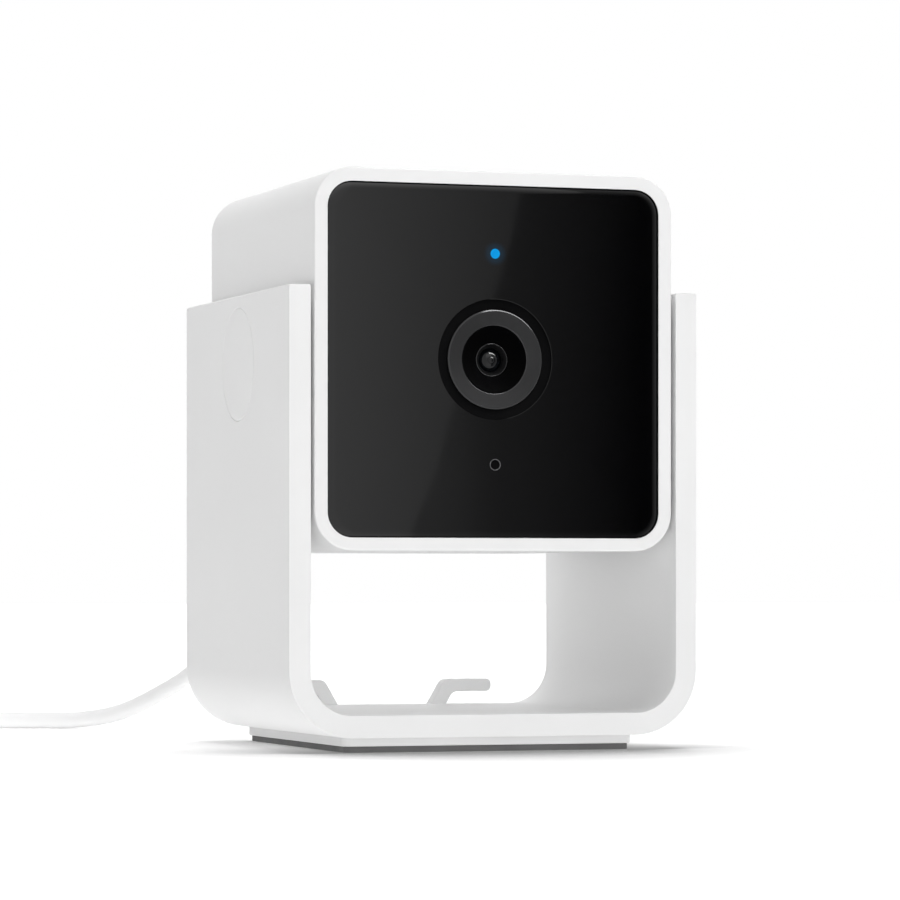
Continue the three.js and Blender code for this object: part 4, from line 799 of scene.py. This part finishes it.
# A brownish patch is painted into the glass's colour a little below its middle: a painted
# reflection of the lens elements inside.
painted_inner_reflection = near_point(tree, place, (0.1, -23.9, LENS_Z - 0.3), 0.1, 0.8)
add_coat(tree, shader, painted_inner_reflection, {"Base Color": linear("#1E1611")})

# %% [markdown]
# Each outline below is a list of radius and station. The stations are tied to the panel and to the
# CAD pieces, so that the parts sit in each other as they do there.

# %% Model the lens
RING_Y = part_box("lens_trim_ring")[0][1] / MM
RING_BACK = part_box("lens_trim_ring")[1][1] / MM
COLLAR_Y = PANEL_LOW.y + 0.35
SEAT_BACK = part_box("lens_surround")[1][1] / MM
NOSE_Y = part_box("lens_barrel")[0][1] / MM
BARREL_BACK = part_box("lens_barrel")[1][1] / MM
at_lens = {"axis": "Y", "centre": (0, 0, LENS_Z), "steps": 128}
collar = turned([(7.06, COLLAR_Y), (8.42, COLLAR_Y - 0.1), (8.42, PANEL_HIGH.y),
                 (9.3, PANEL_HIGH.y), (9.3, SEAT_BACK), (5.2, SEAT_BACK), (5.2, RING_BACK),
                 (7.06, RING_BACK)], **at_lens)
piece("lens_collar", collar, matt_black, "camera", ["lens_surround"])
trim = turned([(4.86, RING_Y + 0.44), (6.78, RING_Y), (7.0, RING_Y + 0.16), (7.0, RING_BACK),
               (4.76, RING_BACK), (4.76, RING_BACK - 0.02)], ease=0.02, **at_lens)
piece("lens_ring", trim, satin_ring, "camera", ["lens_trim_ring"])
funnel = turned([(4.75, RING_BACK), (5.1, RING_BACK), (5.1, SEAT_BACK), (3.95, SEAT_BACK),
                 (2.4, NOSE_Y + 0.4), (2.4, NOSE_Y + 0.06), (2.47, NOSE_Y), (3.5, NOSE_Y - 0.3),
                 (4.3, NOSE_Y - 0.75)], ease=0.04, **at_lens)
piece("lens_funnel", funnel, deep_black, "camera", ["lens_baffle"])
nose = turned([(1.68, NOSE_Y + 0.8), (2.22, NOSE_Y + 0.06), (2.26, NOSE_Y), (2.34, NOSE_Y + 0.07),
               (2.34, NOSE_Y + 0.8), (3.8, NOSE_Y + 1.5), (3.8, BARREL_BACK), (1.2, BARREL_BACK),
               (1.2, NOSE_Y + 1.4), (1.74, NOSE_Y + 1.4), (1.74, NOSE_Y + 0.88)], ease=0.02,
              **at_lens)
piece("lens_nose", nose, nose_metal, "camera", ["lens_barrel"])


def dome(apex, curve, from_r, to_r, steps):
    """The outline of a dome of one curve, between two radii."""
    radii = [from_r + (to_r - from_r) * i / steps for i in range(steps + 1)]
    return [(r, apex + curve - math.sqrt(curve * curve - r * r)) for r in radii]


glass = turned([*dome(NOSE_Y, 0.77, 0, 0.5, 6), *dome(NOSE_Y + 0.14, 2.0, 0.52, 1.6, 9),
                (1.72, NOSE_Y + 1.0), (1.72, NOSE_Y + 1.4), (0, NOSE_Y + 1.4)], **at_lens)
piece("lens_glass", glass, lens_coat, "camera", ["front_lens"])

# %% [markdown]
# ## The back
#
# The speaker sounds through a disc drilled in rings, and a round button sits beside the socket.
# The grille is a plate with many small rings filled round at once.

# %% Model the grille and the button
grille = bmesh.new()
back_y = SHELL_HIGH.y
HOLE_R, HOLE_SPACING, HOLE_CHAMFER, PLATE_CHAMFER = 0.65, 2.45, 0.07, 0.08
outer = ring(grille, (0, back_y, GRILLE_Z), "Y", GRILLE_R - PLATE_CHAMFER, 72)
back_loops = [outer]
front_loops = [bore(grille, outer, "Y", -PLATE_CHAMFER, GRILLE_R / (GRILLE_R - PLATE_CHAMFER),
                    -GRILLE_THICK)]
spots = [(0.0, 0.0)]
for k in (1, 2, 3):  # 6, 12 and 18 holes on three circles
    for i in range(6 * k):
        angle = math.pi * i / (3 * k)
        spots.append((HOLE_SPACING * k * math.cos(angle), HOLE_SPACING * k * math.sin(angle)))
for x, z in spots:
    hole = ring(grille, (x, back_y, GRILLE_Z + z), "Y", HOLE_R + HOLE_CHAMFER, 20)
    back_loops.append(hole)
    front_loops.append(bore(grille, hole, "Y", -HOLE_CHAMFER, HOLE_R / (HOLE_R + HOLE_CHAMFER),
                            -GRILLE_THICK))
fill_between(grille, back_loops)
fill_between(grille, front_loops)
piece("sound_grille", grille, abs_white, "camera", ["speaker_grille"])
KEY_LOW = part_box("setup_button")[0][1] / MM
KEY_R, KEY_FLANGE, FLANGE_THICK = 2.6, 3.1, 0.5
KEY_DISH = [(KEY_R, 0.25), (2.35, 0), (1.9, 0.04), (1.2, 0.18), (0.6, 0.24), (0, 0.25)]
key_face = [(r, SHELL_HIGH.y - sunk) for r, sunk in KEY_DISH]
key = turned([(0, KEY_LOW), (KEY_FLANGE, KEY_LOW), (KEY_FLANGE, KEY_LOW + FLANGE_THICK),
              (KEY_R, KEY_LOW + FLANGE_THICK), *key_face],
             "Y", (BUTTON_X, 0, SOCKET_Z), 64, ease=0.06)
piece("setup_key", key, abs_white, "setup_button", ["setup_button"])

# %% [markdown]
# ## The plugs
#
# Both plugs are overmoulded in the same PVC as the cord. Each has a body with finger ridges, and a
# tapered relief cut with grooves so that it bends.

# %% Model the plugs
RIDGE_INSET, RIDGE_HALF, RIDGE_ROUND = 0.27, 0.35, 0.14
MICRO_HALF, MICRO_HALF_HIGH, MICRO_LONG = 5.2, 3.6, 16
USB_HALF, USB_HIGH, USB_LONG, RELIEF_LONG = 7.9, 7.7, 19, 10.0


def relief_shape(x, y, z, root=2.9, tip=1.75, length=RELIEF_LONG, rings=4):
    """A tapered relief with grooves, which starts inside the body of the plug."""
    profile = [(0, -2.0), (root, -2.0), (root, 0)]
    for i in range(rings):
        radius = root + (tip - root) * (i + 0.5) / (rings + 0.5)
        for share, drop in ((0.35, 0), (0.45, 0.35), (0.85, 0.35), (0.95, 0)):
            profile.append((radius - drop, length * (i + share) / (rings + 0.5)))
    profile += [(tip, length), (0, length)]
    return turned([(r, y + s) for r, s in profile], "Y", (x, 0, z), 40, ease=0.09)


def plug_body(low, high, corner, ridges, proud=0.15):
    """An overmoulded body with soft edges and ridges that stand proud of its two flat faces."""
    body = block((low[0], low[1], low[2] + proud), (high[0], high[1], high[2] - proud))
    round_edges(body, edges_along(body, "Y"), corner, 8)
    round_edges(body, edges_at(body, "Y", low[1]) + edges_at(body, "Y", high[1]), 0.9, 5)
    parts = [body]
    for i in range(ridges):
        y = low[1] + (high[1] - low[1]) * (0.38 + 0.24 * i / (ridges - 1))
        inset = (high[0] - low[0]) * RIDGE_INSET
        bar = block((low[0] + inset, y - RIDGE_HALF, low[2]),
                    (high[0] - inset, y + RIDGE_HALF, high[2]))
        round_edges(bar, bar.edges[:], RIDGE_ROUND, 2)
        parts.append(bar)
    return parts


PLUG_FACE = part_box("micro_plug_body")[0][1] / MM
MICRO_BACK = PLUG_FACE + MICRO_LONG
micro_body = plug_body((-MICRO_HALF, PLUG_FACE, SOCKET_Z - MICRO_HALF_HIGH),
                       (MICRO_HALF, MICRO_BACK, SOCKET_Z + MICRO_HALF_HIGH), 2.3, 4)
piece("micro_plug_grip", joined([*micro_body, relief_shape(0, MICRO_BACK, SOCKET_Z)]),
      pvc_sheath, "camera", ["micro_plug_body"])
USB_ROOT = USB_ENTRY_Y - RELIEF_LONG
usb_body = plug_body((USB_X - USB_HALF, USB_ROOT - USB_LONG, 0.0),
                     (USB_X + USB_HALF, USB_ROOT, USB_HIGH), 2.4, 5)
usb_grip = piece("usb_plug_grip", joined([*usb_body, relief_shape(USB_X, USB_ROOT, USB_Z)]),
                 pvc_sheath, "stand", ["usb_plug_body"])

# %% [markdown]
# The plug shells and the hidden hardware are plain pressed or turned steel. The USB shell is a
# thin folded tube round a tongue, with the two square windows that every such plug has.

# %% Finishes of the metal parts, and the USB shell
bright_steel = plain_finish("nickel_plated_steel", "#C9CACB", "#BFC0C1", 3, (0.24, 0.34), 0.2,
                            0.004, metallic=1.0)
turned_brass = plain_finish("turned_brass", "#C79C55", "#BC9048", 3, (0.28, 0.4), 0.15, 0.004,
                            metallic=1.0)
tongue_plastic = plain_finish("white_nylon_tongue", "#EDEDEA", "#E4E4E0", 3, (0.45, 0.55), 0.3,
                              0.004, ior=1.53)
TUBE_W, TUBE_H, TUBE_LONG, TUBE_WALL, TUBE_ROOT = 12.0, 4.5, 12.0, 0.3, 0.4
TUBE_TIP = USB_ROOT - USB_LONG - TUBE_LONG
WINDOW, WINDOW_X, WINDOW_Y = 2.2, 2.7, 5.4
usb_shell = bmesh.new()
tip = (USB_X, TUBE_TIP, USB_Z)
tip_outer = slot_ring(usb_shell, tip, "Y", TUBE_W, TUBE_H, 0.5)
tip_inner = slot_ring(usb_shell, tip, "Y", TUBE_W - 2 * TUBE_WALL, TUBE_H - 2 * TUBE_WALL, 0.35)
root_outer = push(usb_shell, tip_outer, "Y", TUBE_LONG)
root_inner = push(usb_shell, tip_inner, "Y", TUBE_LONG - TUBE_ROOT)
fill_between(usb_shell, [tip_outer, tip_inner])
bmesh.ops.edgeloop_fill(usb_shell, edges=root_outer)
bmesh.ops.edgeloop_fill(usb_shell, edges=root_inner)
for side in (1, -1):
    outside, inside = USB_Z + side * TUBE_H / 2, USB_Z + side * (TUBE_H / 2 - TUBE_WALL)
    cuts = [slot_ring(usb_shell, (USB_X + x, TUBE_TIP + WINDOW_Y, outside), "Z", WINDOW, WINDOW,
                      0.12) for x in (-WINDOW_X, WINDOW_X)]
    open_face(usb_shell, face_at(usb_shell, "Z", outside), cuts)
    ends = [push(usb_shell, cut, "Z", -side * TUBE_WALL) for cut in cuts]
    open_face(usb_shell, face_at(usb_shell, "Z", inside), ends)
usb_metal = piece("usb_plug_tube", usb_shell, bright_steel, "stand", ["usb_plug_shell"])
TONGUE_HALF, TONGUE_THICK, TONGUE_SUNK = 5.6, 1.7, 0.6
tongue = block((USB_X - TONGUE_HALF, TUBE_TIP + TONGUE_SUNK, USB_Z - TONGUE_THICK),
               (USB_X + TONGUE_HALF, TUBE_TIP + TUBE_LONG - TUBE_ROOT, USB_Z))
round_edges(tongue, tongue.edges[:], 0.12, 2)
usb_tongue = piece("usb_plug_tongue", tongue, tongue_plastic, "stand")

# %% [markdown]
# ## The tie
#
# A soft rubber strap holds the coil. It is a flat band closed round the bundle.

# %% Model the tie
tie_low, tie_high = [Vector(c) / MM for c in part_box("coil_tie")]
TIE_THICK, TIE_CORNER = 0.6, 3.0
tie_w, tie_h = tie_high.y - tie_low.y, tie_high.z - tie_low.z
tie = hollow_band((tie_low.x, (tie_low.y + tie_high.y) / 2, (tie_low.z + tie_high.z) / 2), "X",
                  (tie_w, tie_h, TIE_CORNER),
                  (tie_w - 2 * TIE_THICK, tie_h - 2 * TIE_THICK, TIE_CORNER - TIE_THICK),
                  tie_high.x - tie_low.x)
strap = piece("coil_strap", tie, moulded_rubber, "stand", ["coil_tie"])

print("the cord goes from plug to plug")

# %% [markdown]
# ## Finishes of the inside pieces
#
# The CAD pieces that stay are inside or nearly hidden. Each still gets the finish of its material:
# steel, brass, solder resist over glass fibre, black moulding compound, paper and film.

# %% Dress the CAD pieces
WEAVE_MM = 1.2
solder_resist, tree, shader, place = start_finish("green_solder_resist", "#1F5E3E", 0.35, ior=1.55)
weave = add_node(tree, "TexWave", {"wave_type": "BANDS", "bands_direction": "DIAGONAL"}, {
    "Vector": place, "Scale": 1 / (WEAVE_MM * MM) / 6.3, "Distortion": 1.5}).outputs["Fac"]
add_coat(tree, shader, weave, {"Base Color": linear("#245F42")})
bump = add_node(tree, "Bump", inputs={"Height": weave, "Distance": 0.01 * MM, "Strength": 1.0})
tree.links.new(bump.outputs["Normal"], shader.inputs["Normal"])
moulding_compound = plain_finish("black_moulding_compound", "#1B1B1D", "#222224", 2, (0.5, 0.6),
                                 0.12, 0.004, ior=1.55)
water_clear = plain_finish("clear_epoxy", "#A9C4D6", "#B4CDDD", 2, (0.08, 0.14), 0.6, 0.002,
                           ior=1.52)
film = plain_finish("white_polyester_film", "#EAE8E2", "#E2E0D9", 4, (0.4, 0.5), 0.4, 0.003,
                    ior=1.57)
paper_cone = plain_finish("pressed_black_paper", "#262628", "#2D2D2F", 2, (0.8, 0.92), 0.25, 0.02,
                          ior=1.5)
DRESS = {
    "black_plastic": matt_black, "pad_rubber": moulded_rubber, "steel": bright_steel,
    "brass": turned_brass, "board_green": solder_resist, "chip_black": moulding_compound,
    "clear_plastic": water_clear, "lens_glass": lens_coat, "ribbon_white": film,
    "cone_paper": paper_cone, "white_plastic": abs_white, "black_gloss": smoked_acrylic,
    "grey_metal": satin_ring, "plate_metal": painted_plate, "cord_white": pvc_sheath,
}
for part in frame["record"]["subparts"]:
    node = frame["nodes"][part["node"]]
    for slot in node.material_slots:
        slot.material = DRESS[part["material_slot"]]

# %% [markdown]
# ## The studio
#
# The photograph was taken on seamless white that glows a little, as on a light table. Soft light
# comes from wide patches of the world: strongest from above and in front, weaker from behind,
# faint from the right, and none from the left. No patch has an edge, so nothing throws a hard
# shadow. To the eye of the camera, and in reflections, all round is plain white.

# %% The world
# Where each patch of light lies, how narrow it is, and its level
LAMPS = [
    ((0, -1, 0), 8, 3.0), ((0, 1, 0), 8, 1.1), ((1, 0, 0), 2, 0.35),
    ((0, 0.7071, 0.7071), 4, 0.95), ((0, 0, 1), 16, 4.7)]


def empty_tree(owner):
    """The node tree of a material or a world, with nothing in it."""
    owner.use_nodes = True
    owner.node_tree.nodes.clear()
    return owner.node_tree


world = bpy.data.worlds.new("studio")
SCENE.world = world
tree = empty_tree(world)
rays = add_node(tree, "LightPath")
seen = 0.0
for ray in ("Is Camera Ray", "Is Glossy Ray", "Is Transmission Ray"):
    seen = add_node(tree, "Math", {"operation": "MAXIMUM"}, {
        0: rays.outputs[ray], 1: seen}).outputs[0]
way = add_node(tree, "TexCoord").outputs["Generated"]
total = 0.0
for direction, narrow, level in LAMPS:
    facing = add_node(tree, "VectorMath", {"operation": "DOT_PRODUCT"}, {0: way, 1: direction})
    facing = add_node(tree, "Math", {"operation": "MAXIMUM"}, {0: facing.outputs["Value"], 1: 0.0})
    patch = add_node(tree, "Math", {"operation": "POWER"}, {0: facing.outputs[0], 1: narrow})
    total = add_node(tree, "Math", {"operation": "MULTIPLY_ADD"}, {
        0: patch.outputs[0], 1: level, 2: total}).outputs[0]
soft = add_node(tree, "Background", inputs={"Color": (1, 1, 1, 1), "Strength": total})
white = add_node(tree, "Background", inputs={"Color": (1, 1, 1, 1), "Strength": 1.0})
mixed = add_node(tree, "MixShader", inputs={
    0: seen, 1: soft.outputs[0], 2: white.outputs[0]})
add_node(tree, "OutputWorld", inputs={"Surface": mixed.outputs[0]})
print("the world has", len(LAMPS), "patches of light")

# %% [markdown]
# The paper on the table is matt. What lights the object from below is its glow, stronger under the
# object than round it. The camera sees the same paper with a tone of its own: white in the open,
# and darker the more of the sky the object hides, with the darkest tone in front. That keeps the
# soft contact shade and lets everything else run out to white.


# %% The paper on the table
# Distance from the middle in metres and the level of the glow there
GLOW_NEAR, GLOW_FAR = (0.028, 0.3), (0.065, 0.19)
# How far the sky is looked for, how open it is in the deepest shade, and the tone in the open
SKY_REACH, SKY_LEAST, OPEN_TONE = 0.06, 0.5, 1.55
# A station along Y in metres and the tone of the deepest shade there
SHADE_FRONT, SHADE_BACK = (-0.03, 0.36), (0.0, 1.1)


def stage_piece(name, corners, material):
    """A flat piece of the studio through its corners."""
    shape = bmesh.new()
    shape.faces.new([shape.verts.new(corner) for corner in corners])
    mesh = bpy.data.meshes.new(name)
    shape.to_mesh(mesh)
    shape.free()
    mesh.materials.append(material)
    made = bpy.data.objects.new(name, mesh)
    SCENE.collection.objects.link(made)
    return made


paper = bpy.data.materials.new("seamless_white_paper")
tree = empty_tree(paper)
rays = add_node(tree, "LightPath")
place = add_node(tree, "TexCoord").outputs["Object"]
matt = add_node(tree, "BsdfDiffuse", inputs={"Color": (0.98, 0.98, 0.98, 1)})
away = add_node(tree, "VectorMath", {"operation": "LENGTH"}, {0: place})
level = add_node(tree, "MapRange", inputs={
    "Value": away.outputs["Value"], "From Min": GLOW_NEAR[0], "From Max": GLOW_FAR[0],
    "To Min": GLOW_NEAR[1], "To Max": GLOW_FAR[1]})
glow = add_node(tree, "Emission", inputs={"Strength": level.outputs["Result"]})
lit = add_node(tree, "AddShader", inputs={0: matt.outputs[0], 1: glow.outputs[0]})
sky = add_node(tree, "AmbientOcclusion", {"samples": 16}, {"Distance": SKY_REACH})
parts = add_node(tree, "SeparateXYZ", inputs={"Vector": place})
deepest = add_node(tree, "MapRange", inputs={
    "Value": parts.outputs["Y"], "From Min": SHADE_FRONT[0], "From Max": SHADE_BACK[0],
    "To Min": SHADE_FRONT[1], "To Max": SHADE_BACK[1]})
tone = add_node(tree, "MapRange", inputs={
    "Value": sky.outputs["AO"], "From Min": SKY_LEAST, "From Max": 1.0,
    "To Min": deepest.outputs["Result"], "To Max": OPEN_TONE})
shown = add_node(tree, "BsdfDiffuse", inputs={"Color": tone.outputs["Result"]})
either = add_node(tree, "MixShader", inputs={
    0: rays.outputs["Is Camera Ray"], 1: lit.outputs[0], 2: shown.outputs[0]})
add_node(tree, "OutputMaterial", inputs={"Surface": either.outputs[0]})
studio_floor = stage_piece("studio_floor", [(-4, -4, 0), (4, -4, 0), (4, 4, 0), (-4, 4, 0)], paper)
print("the paper lies at z = 0")

# %% [markdown]
# Most of what the eye sees on the glossy front is the reflection of two tall cards in front of the
# object: a pale one that darkens to the right, and a nearly black one beside it, with a slanting
# edge between them. Both get lighter towards the top, and a little towards the foot, and their
# shades bow to the right up and down. A bright panel overhead gives the cut edges of the ring and
# the glass their highlights. Only reflections see the three.


# %% The cards that the front reflects
# Heights in metres between which a card gets lighter upwards, and downwards by a share of that
RISE_FROM, RISE_TO = 0.33, 1.05
FOOT_FROM, FOOT_TO, FOOT_SHARE = -0.16, -0.6, 0.22
BOW_HEIGHT, BOW = 0.12, -0.11


def glow_finish(name, stops, lift):
    """Light whose level goes through stops of X and level, and rises by lift towards the top."""
    material = bpy.data.materials.new(name)
    tree = empty_tree(material)
    place = add_node(tree, "SeparateXYZ", inputs={
        "Vector": add_node(tree, "TexCoord").outputs["Object"]})
    over = add_node(tree, "MapRange", inputs={
        "Value": place.outputs["Z"], "From Min": RISE_FROM, "From Max": RISE_TO,
        "To Min": stops[0][1], "To Max": stops[0][1] + lift})
    under = add_node(tree, "MapRange", inputs={
        "Value": place.outputs["Z"], "From Min": FOOT_FROM, "From Max": FOOT_TO,
        "To Max": FOOT_SHARE * lift})
    level = add_node(tree, "Math", {"operation": "ADD"}, {
        0: over.outputs["Result"], 1: under.outputs["Result"]})
    off = add_node(tree, "Math", {"operation": "SUBTRACT"}, {0: place.outputs["Z"], 1: BOW_HEIGHT})
    square = add_node(tree, "Math", {"operation": "POWER"}, {0: off.outputs[0], 1: 2})
    across = add_node(tree, "Math", {"operation": "MULTIPLY_ADD"}, {
        0: square.outputs[0], 1: BOW, 2: place.outputs["X"]})
    for (x, here), (next_x, there) in zip(stops, stops[1:]):
        slope = add_node(tree, "MapRange", inputs={
            "Value": across.outputs[0], "From Min": x, "From Max": next_x, "To Max": there - here})
        level = add_node(tree, "Math", {"operation": "ADD"}, {
            0: level.outputs[0], 1: slope.outputs["Result"]})
    shine = add_node(tree, "Emission", inputs={"Strength": level.outputs[0]})
    add_node(tree, "OutputMaterial", inputs={"Surface": shine.outputs[0]})
    return material


CARD_Y = -1.2
CARD_LEFT, CARD_RIGHT, CARD_FOOT, CARD_TOP = -0.6, 3.0, -1.3, 1.6
PANEL_LEVEL = 16.0
# The edge between the two cards as X and Z, from the top down
SLANT = [(0.6600, CARD_TOP), (0.4710, 0.4500), (0.4265, 0.1949), (0.4228, 0.1738),
         (0.4176, 0.1563), (0.3944, 0.0949), (0.3888, 0.0730), (0.3785, 0.0467), (0.3770, 0.0410),
         (0.3800, -0.1600), (0.4000, -0.3800), (0.4330, -0.6300), (0.4890, -0.9300),
         (0.5600, CARD_FOOT)]
pale_light = glow_finish("pale_card_light", [(0.3272, 1.0), (0.419, 0.415)], 1.0)
dark_light = glow_finish("dark_card_light", [
    (0.386, 0.42), (0.399, 0.345), (0.408, 0.255), (0.4175, 0.2), (0.4265, 0.18), (0.486, 0.0),
    (0.60, 0.09), (0.94, 0.28), (1.3, 0.44), (2.5, 0.55)], 0.55)
pale_outline = [(CARD_LEFT, CARD_TOP), *SLANT, (CARD_LEFT, CARD_FOOT)]
dark_outline = [*SLANT, (CARD_RIGHT, CARD_FOOT), (CARD_RIGHT, CARD_TOP)]
pale_card = stage_piece("pale_card", [(x, CARD_Y, z) for x, z in pale_outline], pale_light)
dark_card = stage_piece("dark_card", [(x, CARD_Y, z) for x, z in dark_outline], dark_light)
bright_panel = stage_piece(
    "bright_panel", [(x, y, 1.0) for x, y in ((0.1, -0.7), (1.7, -0.7), (1.7, -0.2), (0.1, -0.2))],
    glow_finish("bright_panel_light", [(0.0, PANEL_LEVEL)], 0.0))
for card in (pale_card, dark_card, bright_panel):
    card.visible_camera = False
    card.visible_diffuse = False
    card.visible_transmission = False
    card.visible_shadow = False
studio_floor.visible_glossy = False
print("two cards and a bright panel stand where only reflections see them")

# %% [markdown]
# ## Finish

# The visual model has to stay in the CAD box.

# %% Set the view transform
SCENE.view_settings.view_transform = "Standard"
